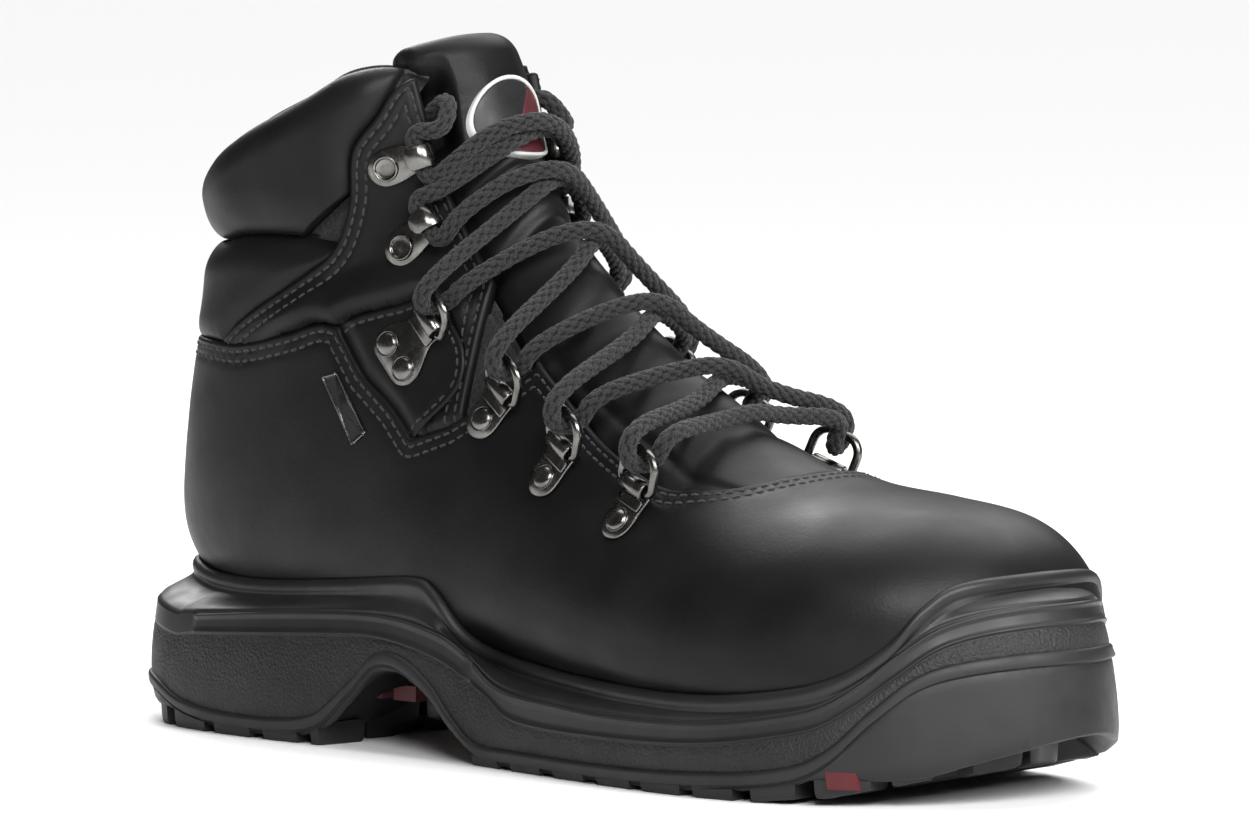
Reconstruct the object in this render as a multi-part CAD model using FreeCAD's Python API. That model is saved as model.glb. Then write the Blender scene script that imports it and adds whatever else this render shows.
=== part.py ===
import FreeCAD, Part
import math
import os

# Steel toe work boot, right foot. Millimetres, +X to the toe, -Y to the outer (lateral) side, +Z up.
# The model is drawn with x = 0 near the heel and is moved to its origin when it is written:
# the middle of the bottom of the whole boot's box.

V = FreeCAD.Vector

# ---------------------------------------------------------------- driving dimensions
ORIGIN_X, ORIGIN_Y = 150.5, -3.6      # where the written origin lies in the drawing
LEATHER = 2.0                         # upper leather
MIDDLE = 2.0                          # steel cap, counter, insole board and interlining
MEMBRANE = 0.6                        # waterproof bootie
LINING = 1.4                          # textile lining
COLLAR_PADDING = 5.0                  # extra padding inside the shaft
GUSSET = 1.0                          # bellows between tongue and facing
TONGUE_LINING = 1.5
TONGUE_COVER = 1.5
FOOTBED_GAP = 1.2
FOOTBED = 4.5
FOOTBED_HINGE = (284.0, 0.0, 26.0)     # the footbed lifts at the heel about its toe end
BOARD_INSET, PLATE_INSET = 10.0, 15.0  # plan distance from the edge of the sole
BOTTOM_LIMIT = 36.0                   # the boards lie below this height
CAP_REAR_X = 243.0                    # rear edge of the steel toe cap
CAP_STRIP = 5.0


# Surface of the lasted upper, toe to collar, one line per ring:
# ridge x, z | base x, z | half width lateral, medial | centre y | height share of the widest level
# | exponent of the upper half | exponent of the lower half
STATIONS = [
    (293, 38, 293, 36, 1, 1, 9, .45, 2, 2),
    (291, 50, 292, 25, 18, 16, 8.5, .42, 2.2, 2.6),
    (284, 62, 285, 21, 33, 27, 7, .38, 2.4, 3.0),
    (271, 69.5, 272, 19, 44, 34.5, 5.5, .36, 2.5, 3.2),
    (251, 73, 253, 18, 51, 40.5, 3, .33, 2.4, 3.4),
    (228, 76, 229, 18, 54, 43.5, 1.5, .30, 2.2, 3.4),
    (202, 85, 197, 19, 52, 42, 1.5, .28, 2.0, 3.4),
    (176, 101, 158, 22, 45, 38, 1, .28, 1.8, 3.2),
    (152, 119, 112, 26, 38, 35.5, 1, .30, 1.75, 3.0),
    (134, 136, 66, 28, 35, 34.5, 1, .36, 1.8, 2.8),
    (124, 149, 30, 30, 34, 34, 1, .42, 1.9, 2.6),
    (118, 158, 6, 45, 33.5, 33.5, 1, .46, 2.0, 2.4),
    (114, 165, 6, 76, 34, 34, 1, .48, 2.1, 2.3),
    (112, 171, 12, 105, 35, 35, 1, .50, 2.1, 2.3),
    (110, 177, 16, 126, 36, 37, 1, .50, 2.1, 2.3),
    (106, 186, 15, 148, 37, 38, 1, .50, 2.1, 2.3),
    (102, 197, 13, 162, 38, 39, 1, .50, 2.1, 2.3),
]
COLUMNS = list(zip(*STATIONS))
LAST_RING = len(STATIONS) - 1
RING_POINTS = 32
FOOT_RINGS = [0.35] + list(range(1, LAST_RING + 1))
TOE_RINGS = 3.0                       # rings over which the toe end draws back with depth
SHAFT_RING = 12.0                     # the collar padding starts here

# Plan of the sole at its widest level, heel to toe: outer side, then inner side
SOLE_LATERAL = [(-4, 0), (-1, -16), (8, -29), (30, -38), (62, -41), (100, -41), (140, -45), (175, -51),
                (205, -55), (232, -55), (258, -49), (280, -37), (296, -21), (304, -4)]
SOLE_MEDIAL = [(305, 8), (303, 15), (297, 25), (284, 37), (262, 45), (235, 48), (205, 47), (175, 42),
               (140, 37), (100, 36), (65, 38), (32, 36), (9, 28), (-1, 16)]
SOLE_LEVELS = [(-1, 3.0), (12, 0.0), (30, 1.2), (45, 4.5), (62, 11.0)]   # height, inset from the plan

# Side-view lines (x, z)
MIDSOLE_TOP = [(-20, 47), (10, 42.5), (30, 41), (55, 41.5), (85, 44), (112, 46.5), (121, 43.5), (131, 33),
               (142, 29), (165, 26.5), (192, 25.5), (222, 25.5), (247, 28), (263, 32), (275, 40), (283, 50),
               (292, 55.5), (315, 57)]
OUTSOLE_TOP = [(-20, 14), (10, 13.5), (28, 8), (52, 6), (78, 8), (93, 18), (102, 26), (112, 26), (124, 20),
               (133, 12), (142, 6), (160, 5.5), (192, 5.5), (225, 6.5), (250, 9), (262, 14), (273, 25),
               (284, 34), (300, 38), (315, 38)]
OUTSOLE_BOTTOM = [(-20, 2.5), (2, 0.6), (12, 0), (80, 0), (87, 9), (97, 15), (104, 17), (111, 17),
                  (121, 12.5), (131, 5.5), (139, 0), (240, 0), (262, 2.2), (285, 7.5), (300, 13.5), (315, 21)]
BODY_TOP = [(-25, 106), (10, 105), (28, 104.5), (45, 104), (63, 107.5), (73, 110.5), (80, 110)]
BODY_NOTCH = [(89, 98), (101, 89), (108, 82), (120, 86), (134, 94), (142, 101)]
CREASE = [(-25, 130), (27, 130.5), (46, 132.5), (65, 132.5), (84, 131)]
STRIP = [(97, 178), (92, 166), (85, 156), (83, 142), (78, 130), (67, 122), (45, 110), (36, 103), (30, 98)]
RIM = [(-25, 149), (15, 149.5), (27, 150), (48, 159), (70, 168), (83, 175), (95, 177.5), (104, 175),
       (124, 164)]
PATCH = [(80, 110), (86, 113), (98, 116), (108, 118), (119, 108), (122, 99), (119, 92), (108, 82)]
TAG = [(76, 96.5), (81, 98), (92.5, 82.5), (88, 79)]
COUNTER = [(-25, 0), (75, 0), (72, 42), (42, 88), (-25, 94)]
FOOTBED_TOP = [(-25, 48), (30, 46), (80, 42), (130, 38), (200, 33), (300, 33)]

# Throat, seen square to the instep: distance along the instep, half width
INSTEP = 45.0                         # degrees that the viewing line leans back from level
THROAT = [(-75, 22.5), (-51, 21.5), (-41, 20), (-24, 18.5), (-3, 19.5), (15, 21), (42, 25), (64, 29),
          (85, 32.5), (93, 30), (99, 24), (101.5, 12), (102, 0)]
THROAT_START, WING_START = 168.0, 155.0   # distance along the viewing line
WING = 12.0                           # how far gusset and tongue lining run under the facing
TONGUE_TOP_Z, TONGUE_HALF_WIDTH, TONGUE_STEP_Z = 186.5, 14.5, 147.0
BADGE_SEAT, BADGE_HALF = (11.9, .503), (11.5, 14.5)   # place, half height and half width
BADGE_THICK, BADGE_RIM, TAG_THICK = 1.2, 1.0, 0.8
BADGE_SPLIT, BADGE_SLANT = 0.4, -35.0  # where the coloured part starts, and how its edge leans

LUG_GROOVE, LUG_DEPTH = 4.5, 4.5
LUG_PLACES = [19, 38, 57, 75] + [152 + 17.5 * k for k in range(8)]
SIDE_GROOVE_Y, SIDE_GROOVE = (-62, 24), 38.0   # cross grooves: where they start, and their length
CHANNEL_X, CHANNEL_Y, CHANNEL = ((14, 76), (150, 268)), (-19, 15), 4.0   # long channels
GROOVE_BELOW = 2.0                    # how far a cutter reaches below the ground
ARCH_INSERTS = [(89, 96), (100, 108), (117, 126)]
ARCH_INSERT_HALF, ARCH_INSERT_Z = 31.0, (13.0, 20.0)
HEEL_INSERT = ((-6, -9, 3.5), (9, 18, 6.5))    # corner, size
FOREFOOT_INSERT_Y, FOREFOOT_INSERT = (-58, 40), ((262, 4.5), (7, 18, 4.5))   # corner x, z and size

# Lacing hardware, each by its rivet and the point it faces, as ring number and share of the ring
# (0 at the base, 0.25 outermost, 0.5 on the ridge). The inner side mirrors the outer one.
RING_SEATS = [((6.38, .338), (6.27, .375)), ((7.32, .334), (7.20, .372)), ((8.18, .338), (8.08, .372))]
ANKLE_SEAT = ((9.46, .326), (9.28, .364))
HOOK_SEATS = [((10.60, .360), (10.46, .396)), ((12.30, .357), (11.95, .400))]
PLATE_LIFT, PLATE_THICK = 0.7, 1.0
TAIL_R, ANKLE_TAIL_R = 5.2, 4.5       # the strap is round behind each rivet
ANKLE_RIVET_V = 4.3                   # the two rivets of the ankle plate, from its middle
RIVET_R, RIVET_HEAD_R, RIVET_HEAD_H, RIVET_DEPTH = 1.6, 3.5, 1.5, 3.2
WIRE_R = 1.2                          # D-ring wire
BARREL_U, ANKLE_BARREL_U = 9.5, 14.5  # barrel axis in front of the rivets
BARREL_N = 3.4                        # barrel axis above the leather
BARREL_IN_R, BARREL_OUT_R = 1.5, 2.5
BARREL_HALF = 4.8
WEB = 3.5                             # length of the folded stack behind the barrel
RING_LENGTH, RING_HALF_WIDTH = 9.8, 6.8   # wire centre line, from the barrel axis and from the middle
RING_BENDS = (1.7, 4.6)               # bend radii at the barrel and at the bow
RING_TILT = 35.0                      # degrees above the leather
HOOK_HALF_WIDTH, HOOK_THICK, HOOK_INNER_R = 3.0, 1.1, 2.9
HOOK_TAIL_R = 4.9
HOOK_U, HOOK_LIP = 10.4, 3.2          # the curl starts here; length of the lip that comes back over the lace

# Lace
LACE_D = 4.6
LACE_TURN = 3.9                       # lace centre line to ring wire centre line
AGLET_R, AGLET_LENGTH = 2.5, 20.0
RING_TURN = [(1.7, -1, -1.8, .4), (-1, -1, -.7, 1), (-1, 1, .7, 1), (1.5, 1, 1.8, 1)]   # out, up, along, rise
# Lace round a hook, from the middle of its curl: out, along, up
HOOK_TURN = [(8.9, -4, .6), (.2, -7.4, 0), (-.2, 0, 0), (.2, 7.4, 0), (8.9, 4, .6)]
CROSSING_SPREAD = 0.045
UNDER, OVER = (3.4, 3.0, 3.4), (6.0, 8.9, 6.0)   # heights over the tongue, where two strands cross
BADGE_LIFT = 1.7                      # the last crossing lies on the badge
LOWEST_BAR = ((.455, .5, .545), 3.6)  # shares of the ring and height of the first bar
# From the last hook down inside the boot, beside the tongue; y is towards the strand's own side
TUCKED_END = [(108, 17.4, 171), (98.5, 17.2, 164), (88.5, 16.9, 154.5), (81, 16.4, 142.5), (77, 15.8, 128.5),
              (74.8, 15.2, 115), (73.5, 14.7, 101.5), (73, 14, 88)]


# ---------------------------------------------------------------- the foot surface
def spline(values, t):
    """Smooth curve through values at t = 0, 1, 2 ... (Catmull-Rom, straight past the ends)."""
    last = len(values) - 1
    i = min(int(t), last - 1)
    f = t - i
    b, c = values[i], values[i + 1]
    a = values[i - 1] if i > 0 else 2 * b - c
    d = values[i + 2] if i + 2 <= last else 2 * c - b
    return 0.5 * (2 * b + (c - a) * f + (2 * a - 5 * b + 4 * c - d) * f ** 2
                  + (3 * b - a - 3 * c + d) * f ** 3)


def padding(t):
    """Extra depth of the inner layers in the padded shaft."""
    share = min(1.0, max(0.0, (t - SHAFT_RING) / 1.5))
    return COLLAR_PADDING * share * share * (3 - 2 * share)


def surface(t, a, depth=0.0):
    """Point of the upper at ring t and share a of the ring, moved inwards by depth."""
    rx, rz, bx, bz, lateral, medial, cy, level, upper, lower = [spline(c, t) for c in COLUMNS]
    if depth > LEATHER:
        depth += padding(t)
    toe = depth * max(0.0, 1 - t / TOE_RINGS)
    height = math.hypot(rx - bx, rz - bz)
    ux, uz = (rx - bx) / height, (rz - bz) / height
    inset = min(depth, 0.4 * height)
    rx, rz, bx, bz = rx - ux * inset - toe, rz - uz * inset, bx + ux * inset - toe, bz + uz * inset
    angle = 2 * math.pi * (a - 0.25)
    sine, cosine = math.sin(angle), math.cos(angle)
    power = upper if sine > 0 else lower
    width = max(lateral if cosine > 0 else medial, 1.0)
    width = max(width - depth, 0.5 * width if width < 25 else 0)
    across = math.copysign(abs(cosine) ** (2 / power), cosine)
    along = math.copysign(abs(sine) ** (2 / power), sine)
    share = level + (1 - level) * along if sine > 0 else level + level * along
    return V(bx + (rx - bx) * share, cy - width * across, bz + (rz - bz) * share)


def normal(t, a):
    """Outward unit normal of the upper."""
    along = surface(t + 0.02, a) - surface(t - 0.02, a)
    around = surface(t, a + 0.002) - surface(t, a - 0.002)
    n = along.cross(around)
    n.normalize()
    middle = (surface(t, 0.25) + surface(t, 0.75)) * 0.5
    return n if n.dot(surface(t, a) - middle) > 0 else n * -1


def foot(depth):
    """Closed solid of the upper's inside or outside surface at one depth."""
    grid = []
    for t in FOOT_RINGS:
        ring = [surface(t, (k + 0.5) / RING_POINTS, depth) for k in range(RING_POINTS)]
        grid.append(ring + ring[:1])
    skin = Part.BSplineSurface()
    skin.interpolate(grid)
    ends = []
    for ring, u in zip((grid[0], grid[-1]), skin.bounds()[:2]):
        plane = Part.Plane(ring[0], ring[RING_POINTS // 3], ring[2 * RING_POINTS // 3])
        ends.append(Part.Face(plane, Part.Wire(skin.uIso(u).toShape())))
    shell = Part.makeShell([skin.toShape()] + ends)
    shell.sewShape()
    return Part.makeSolid(shell)


# ---------------------------------------------------------------- cutters
def region(curve, corners):
    """Face in the XZ plane: a smooth curve through the first points, straight lines through the rest."""
    start = [V(x, 0, z) for x, z in curve]
    line = Part.BSplineCurve()
    line.interpolate(Points=start)
    edges = [line.toShape()]
    path = [start[-1]] + [V(x, 0, z) for x, z in corners] + [start[0]]
    for p, q in zip(path, path[1:]):
        edges.append(Part.LineSegment(p, q).toShape())
    return Part.Face(Part.Wire(edges))


def across(face):
    """The face drawn out over the whole width of the boot."""
    face.translate(V(0, -90, 0))
    return face.extrude(V(0, 180, 0))


def below(curve, floor=-20):
    return across(region(curve, [(curve[-1][0], floor), (curve[0][0], floor)]))


def above(curve, ceiling=260):
    return across(region(curve, [(curve[-1][0], ceiling), (curve[0][0], ceiling)]))


def polygon(points):
    corners = [V(x, 0, z) for x, z in points]
    return across(Part.Face(Part.makePolygon(corners + corners[:1])))


def plan_points(inset):
    """The sole's plan, moved inwards."""
    points = SOLE_LATERAL + SOLE_MEDIAL
    moved = []
    for i, (x, y) in enumerate(points):
        before, after = points[i - 1], points[(i + 1) % len(points)]
        dx, dy = after[0] - before[0], after[1] - before[1]
        size = math.hypot(dx, dy)
        moved.append((x - dy / size * inset, y + dx / size * inset))
    return moved


def plan_wire(inset, z):
    line = Part.BSplineCurve()
    line.interpolate(Points=[V(x, y, z) for x, y in plan_points(inset)], PeriodicFlag=True)
    return Part.Wire(line.toShape())


def plan_prism(inset, top):
    face = Part.Face(plan_wire(inset, -10))
    return face.extrude(V(0, 0, top + 10))


def half(side):
    """Everything on one side of the boot: -1 outer, +1 inner."""
    return Part.makeBox(500, 100, 400, V(-80, 0 if side > 0 else -100, -50))


def throat(start, extra=0.0, top=-75):
    """The lacing opening, cut square to the instep, and wider by extra on each side."""
    lean = math.radians(INSTEP)
    out = V(math.cos(lean), 0, math.sin(lean))
    down = V(math.sin(lean), 0, -math.cos(lean))
    outline = [(max(s, top), y + extra * (s < 90)) for s, y in THROAT if s >= top - 26]
    points = [down * s + out * start + V(0, -y, 0) for s, y in outline]
    points += [down * s + out * start + V(0, y, 0) for s, y in outline[-2::-1]]
    line = Part.BSplineCurve()
    line.interpolate(Points=points)
    edges = [line.toShape(), Part.LineSegment(points[-1], points[0]).toShape()]
    return Part.Face(Part.Wire(edges)).extrude(out * 110)


def slab(low, high):
    """Everything between two heights."""
    return Part.makeBox(500, 200, high - low, V(-80, -100, low))


# ---------------------------------------------------------------- hardware
def frame_at(seat, side):
    """Matrix of a seat: u from the rivet to the throat, v along the facing, n out of the leather."""
    (t, a), (facing_t, facing_a) = seat
    if side > 0:
        a, facing_a = 1 - a, 1 - facing_a
    origin, n = surface(t, a), normal(t, a)
    u = surface(facing_t, facing_a) - origin
    u = u - n * u.dot(n)
    u.normalize()
    v = n.cross(u)
    return FreeCAD.Matrix(u.x, v.x, n.x, origin.x, u.y, v.y, n.y, origin.y,
                          u.z, v.z, n.z, origin.z, 0, 0, 0, 1)


def placed(shape, seat, side):
    shape = shape.copy()
    shape.Placement = FreeCAD.Placement(frame_at(seat, side)).multiply(shape.Placement)
    return shape


def at(seat, side, u, v, n):
    return frame_at(seat, side).multVec(V(u, v, n))


def tail(radius, spread, neck_u, half_width, thick):
    """Flat end of a strap: round behind rivets at v = +-spread, narrowing to half_width at neck_u."""
    dx, dy = neck_u, half_width - spread
    angle = math.atan2(dy, dx) + math.acos(radius / math.hypot(dx, dy))
    angles = (angle, (angle + math.pi) / 2, math.pi)
    arc = [V(radius * math.cos(a), spread + radius * math.sin(a), PLATE_LIFT) for a in angles]
    mirror = [V(p.x, -p.y, p.z) for p in arc]
    neck = [V(neck_u, half_width, PLATE_LIFT), V(neck_u, -half_width, PLATE_LIFT)]
    edges = [Part.LineSegment(neck[0], arc[0]).toShape(), Part.Arc(*arc).toShape()]
    if spread > 0:
        edges.append(Part.LineSegment(arc[2], mirror[2]).toShape())
    edges += [Part.Arc(*mirror[::-1]).toShape(), Part.LineSegment(mirror[0], neck[1]).toShape(),
              Part.LineSegment(neck[1], neck[0]).toShape()]
    return Part.Face(Part.Wire(edges)).extrude(V(0, 0, thick))


def ring_plate(barrel_u, radius, rivets):
    """Strap folded round the ring's bar, with its rivet holes."""
    neck_u, width = barrel_u - WEB, 2 * BARREL_HALF
    flat = tail(radius, max(rivets), neck_u, BARREL_HALF, PLATE_THICK)
    barrel = Part.makeCylinder(BARREL_OUT_R, width, V(barrel_u, -BARREL_HALF, BARREL_N), V(0, 1, 0))
    web = Part.makeBox(WEB, width, BARREL_N - PLATE_LIFT, V(neck_u, -BARREL_HALF, PLATE_LIFT))
    plate = flat.fuse([barrel, web])
    holes = [Part.makeCylinder(BARREL_IN_R, 40, V(barrel_u, -20, BARREL_N), V(0, 1, 0))]
    holes += [Part.makeCylinder(RIVET_R, 6, V(0, v, -1)) for v in rivets]
    return plate.cut(holes).removeSplitter()


def rivet(v, plate_top):
    """Domed head, shank and the flange that is spread behind the leather."""
    sphere_r = (RIVET_HEAD_R ** 2 + RIVET_HEAD_H ** 2) / (2 * RIVET_HEAD_H)
    head = Part.makeSphere(sphere_r, V(0, v, plate_top + RIVET_HEAD_H - sphere_r))
    head = head.common(Part.makeBox(20, 20, 10, V(-10, v - 10, plate_top)))
    shank = Part.makeCylinder(RIVET_R, plate_top + RIVET_DEPTH + .1, V(0, v, -RIVET_DEPTH))
    flange = Part.makeCylinder(RIVET_HEAD_R, 0.8, V(0, v, -RIVET_DEPTH))
    return head.fuse([shank, flange]).removeSplitter()


def d_ring(barrel_u):
    """Closed wire ring: a straight bar in the barrel and a bowed end, drawn flat, then tilted."""
    small, large, length, w = *RING_BENDS, RING_LENGTH, RING_HALF_WIDTH
    halves = []
    for side in (-1, 1):
        bend = [V(0, side * (w - small), 0), V(.293 * small, side * (w - .293 * small), 0),
                V(small, side * w, 0)]
        bow = [V(length - large, side * w, 0), V(length - .293 * large, side * (w - .293 * large), 0),
               V(length, side * (w - large), 0)]
        edges = [Part.LineSegment(V(0, 0, 0), bend[0]).toShape(), Part.Arc(*bend).toShape(),
                 Part.LineSegment(bend[2], bow[0]).toShape(), Part.Arc(*bow).toShape(),
                 Part.LineSegment(bow[2], V(length, 0, 0)).toShape()]
        section = Part.Wire(Part.makeCircle(WIRE_R, V(0, 0, 0), V(0, 1, 0)))
        halves.append(Part.Wire(edges).makePipeShell([section], True, True))
    ring = halves[0].fuse(halves[1]).removeSplitter()
    ring.rotate(V(0, 0, 0), V(0, 1, 0), -RING_TILT)
    ring.translate(V(barrel_u, 0, BARREL_N))
    return ring


def hook():
    """Riveted strap whose narrow end rises and curls back over the lace."""
    low = PLATE_LIFT
    strap = tail(HOOK_TAIL_R, 0, HOOK_U + HOOK_THICK, HOOK_HALF_WIDTH, HOOK_THICK)
    r_in, r_out = HOOK_INNER_R, HOOK_INNER_R + HOOK_THICK
    axis, size = V(HOOK_U, -HOOK_HALF_WIDTH, low + r_out), 2 * HOOK_HALF_WIDTH
    curl = Part.makeCylinder(r_out, size, axis, V(0, 1, 0))
    curl = curl.cut(Part.makeCylinder(r_in, size, axis, V(0, 1, 0)))
    curl = curl.cut(Part.makeBox(20, 20, 2 * r_out, V(HOOK_U - 20, -10, low + HOOK_THICK)))
    lip = Part.makeBox(HOOK_LIP, size, HOOK_THICK, V(HOOK_U - HOOK_LIP, -HOOK_HALF_WIDTH, low + r_out + r_in))
    body = strap.fuse([curl, lip])
    return body.cut(Part.makeCylinder(RIVET_R, 6, V(0, 0, -1))).removeSplitter()


# ---------------------------------------------------------------- lace
def ring_turn(seat, side):
    """Lace points through a ring: in below its end bar, up through it and out over the bar."""
    tilt = math.radians(RING_TILT)
    ru, rn = math.cos(tilt), math.sin(tilt)
    barrel_u = ANKLE_BARREL_U if seat == ANKLE_SEAT else BARREL_U
    bar_u, bar_n = barrel_u + RING_LENGTH * ru, BARREL_N + RING_LENGTH * rn
    points = []
    for back, up, v, rise in RING_TURN:
        u = bar_u + LACE_TURN * (back * ru - up * rn)
        n = bar_n + LACE_TURN * (back * rn * rise + up * ru)
        points.append(at(seat, side, u, -side * v, n))
    return points


def hook_turn(seat, side):
    """Lace points round a hook: behind its neck and back to the throat."""
    middle = PLATE_LIFT + HOOK_THICK + HOOK_INNER_R
    return [at(seat, side, HOOK_U + u, -side * v, middle + n) for u, v, n in HOOK_TURN]


def crossing(t_from, t_to, side, heights, lift):
    """Lace points over the tongue from one side (-1 outer) to the other."""
    points = []
    for share, spread, height in zip((.30, .5, .70), (1, 0, -1), heights):
        t, a = t_from + (t_to - t_from) * share, 0.5 + side * CROSSING_SPREAD * spread
        points.append(surface(t, a) + normal(t, a) * (height + lift))
    return points


def lace_half(first):
    """One half of the lace, from the lowest ring of its side up to the last hook."""
    rows = RING_SEATS + [ANKLE_SEAT]
    seats = rows + HOOK_SEATS
    side, path = first, []
    for k, seat in enumerate(seats):
        path += ring_turn(seat, side) if k < len(rows) else hook_turn(seat, side)
        if k + 1 < len(seats):
            over = (k + (first > 0)) % 2
            lift = BADGE_LIFT if k + 2 == len(seats) else 0
            path += crossing(seat[1][0], seats[k + 1][1][0], side, OVER if over else UNDER, lift)
        side = -side
    return path + [V(x, -side * y, z) for x, y, z in TUCKED_END]


def lace_route():
    """The whole lace: one tucked end, the lowest bar across the tongue, the other tucked end."""
    t = RING_SEATS[0][1][0]
    shares, height = LOWEST_BAR
    bar = [surface(t, a) + normal(t, a) * height for a in shares]
    return lace_half(-1)[::-1] + bar + lace_half(1)


def cord_wire(points):
    """Straight runs joined by tangent arcs, each as large as its two runs allow."""
    ends, radii = [points[0]], []
    edges = []
    for before, here, after in zip(points, points[1:], points[2:]):
        a, b = before - here, after - here
        run = min(a.Length, b.Length)
        turn = math.pi - a.getAngle(b)
        a.normalize()
        b.normalize()
        cut = 0.45 * run
        radius = cut / math.tan(turn / 2)
        radii.append(radius)
        middle = a + b
        middle.normalize()
        reach = math.hypot(cut, radius) - radius
        start, end = here + a * cut, here + b * cut
        edges.append(Part.LineSegment(ends[-1], start).toShape())
        edges.append(Part.Arc(start, here + middle * reach, end).toShape())
        ends.append(end)
    edges.append(Part.LineSegment(ends[-1], points[-1]).toShape())
    return Part.Wire(edges), radii


def tube(points, radius):
    wire, radii = cord_wire(points)
    start = points[1] - points[0]
    section = Part.Wire(Part.makeCircle(radius, points[0], start))
    solid = wire.makePipeShell([section], True, True)
    print("lace length %.0f, volume share %.3f, smallest radius %.1f"
          % (wire.Length, solid.Volume / (math.pi * radius ** 2 * wire.Length), min(radii)))
    return solid


def aglet(end, before):
    return Part.makeCylinder(AGLET_R, AGLET_LENGTH, end, end - before)


# ---------------------------------------------------------------- assembly
def sole_unit(skin):
    block = Part.makeLoft([plan_wire(inset, z) for z, inset in SOLE_LEVELS], True, False)
    bottom = block.common(polygon(OUTSOLE_BOTTOM + [(315, 260), (-20, 260)]))
    outsole = bottom.common(below(OUTSOLE_TOP)).cut(foot(-3.0))
    midsole = bottom.common(below(MIDSOLE_TOP)).cut([outsole, skin])
    corner, size = HEEL_INSERT
    boxes = [Part.makeBox(*size, V(*corner))]
    (insert_x, insert_z), size = FOREFOOT_INSERT
    boxes += [Part.makeBox(*size, V(insert_x, y, insert_z)) for y in FOREFOOT_INSERT_Y]
    inserts = Part.makeCompound([outsole.common(box) for box in boxes])
    low, high = ARCH_INSERT_Z
    half_width = ARCH_INSERT_HALF
    arch = [Part.makeBox(b - a, 2 * half_width, high - low, V(a, -half_width, low)) for a, b in ARCH_INSERTS]
    lugs = [box.cut([outsole, midsole]) for box in arch]
    grooves, height = [], LUG_DEPTH + GROOVE_BELOW
    for x in LUG_PLACES:
        for y in SIDE_GROOVE_Y:
            start = V(x - LUG_GROOVE / 2, y, -GROOVE_BELOW)
            grooves.append(Part.makeBox(LUG_GROOVE, SIDE_GROOVE, height, start))
    for start, end in CHANNEL_X:
        for y in CHANNEL_Y:
            grooves.append(Part.makeBox(end - start, CHANNEL, height, V(start, y, -GROOVE_BELOW)))
    outsole = outsole.cut(inserts).cut(grooves)
    return outsole, midsole, Part.makeCompound(inserts.Solids + [s for lug in lugs for s in lug.Solids])


def upper_parts():
    """Leather panels and the layers behind them."""
    leather_in, middle_in = LEATHER, LEATHER + MIDDLE
    membrane_in = middle_in + MEMBRANE
    lining_in = membrane_in + LINING
    levels = [foot(d) for d in (0, leather_in, middle_in, membrane_in, lining_in)]
    opening = [throat(THROAT_START), above(RIM)]
    leather, middle, membrane, lining = [a.cut(b).cut(opening) for a, b in zip(levels, levels[1:])]
    plate_zone, board_zone = plan_prism(PLATE_INSET, BOTTOM_LIMIT), plan_prism(BOARD_INSET, BOTTOM_LIMIT)
    body_zone = across(region(BODY_TOP, BODY_NOTCH + [(142, 220), (330, 220), (330, -20), (-25, -20)]))
    back_zone = across(region(STRIP, [(-30, 98), (-30, 200), (97, 200)]))
    collar_zone = back_zone.common(above(CREASE))
    patch_zone = polygon(PATCH)
    made = {"penetration_plate": leather.common(plate_zone), "insole_board": middle.common(board_zone)}
    made["vamp_and_quarters"] = leather.cut(plate_zone).common(body_zone)
    top = leather.cut([plate_zone, body_zone])
    made["collar_cover"] = top.common(collar_zone)
    made["heel_flex_panel"] = top.common(back_zone).cut(collar_zone)
    front = top.cut(back_zone)
    for side, word in ((-1, "lateral"), (1, "medial")):
        made["hook_panel_" + word] = front.cut(patch_zone).common(half(side))
        made["ankle_patch_" + word] = front.common(patch_zone).common(half(side))
    rest = middle.cut(board_zone)
    cap_zone = Part.makeBox(100, 200, 200, V(CAP_REAR_X, -100, 0))
    strip_zone = Part.makeBox(CAP_STRIP, 200, 200, V(CAP_REAR_X - CAP_STRIP, -100, 0))
    counter_zone = polygon(COUNTER)
    made["steel_toe_cap"] = rest.common(cap_zone)
    made["toe_cap_edge_strip"] = rest.common(strip_zone)
    made["heel_counter"] = rest.common(counter_zone)
    made["collar_foam"] = rest.common(collar_zone)
    flex_zone = back_zone.cut([collar_zone, counter_zone]).common(slab(98, 200))
    made["heel_flex_foam"] = rest.common(flex_zone)
    made["upper_interlining"] = rest.cut([cap_zone, strip_zone, counter_zone, collar_zone, flex_zone])
    made["waterproof_bootie"] = membrane
    made["lining"] = lining
    gusset = lining_in + GUSSET
    tongue_in = gusset + TONGUE_LINING
    under = foot(gusset)
    wing = throat(WING_START, WING, -24)
    made["tongue_gussets"] = levels[4].cut(under).common(wing).cut(opening[0]).common(slab(60, TONGUE_STEP_Z))
    narrow = Part.makeBox(80, 2 * TONGUE_HALF_WIDTH, 60, V(60, -TONGUE_HALF_WIDTH, TONGUE_STEP_Z))
    tongue_zone = opening[0].common(slab(40, TONGUE_STEP_Z).fuse(narrow)).common(slab(40, TONGUE_TOP_Z))
    lining_zone = wing.common(slab(60, TONGUE_STEP_Z)).fuse(tongue_zone)
    cover_in = foot(TONGUE_COVER)
    made["tongue_cover"] = levels[0].cut(cover_in).common(tongue_zone)
    made["tongue_foam"] = cover_in.cut(under).common(tongue_zone)
    made["tongue_lining"] = under.cut(foot(tongue_in)).common(lining_zone)
    bed_out = lining_in + FOOTBED_GAP
    bed = foot(bed_out).cut(foot(bed_out + FOOTBED)).common(below(FOOTBED_TOP))
    made["footbed"] = bed
    return made, levels[0]


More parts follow.
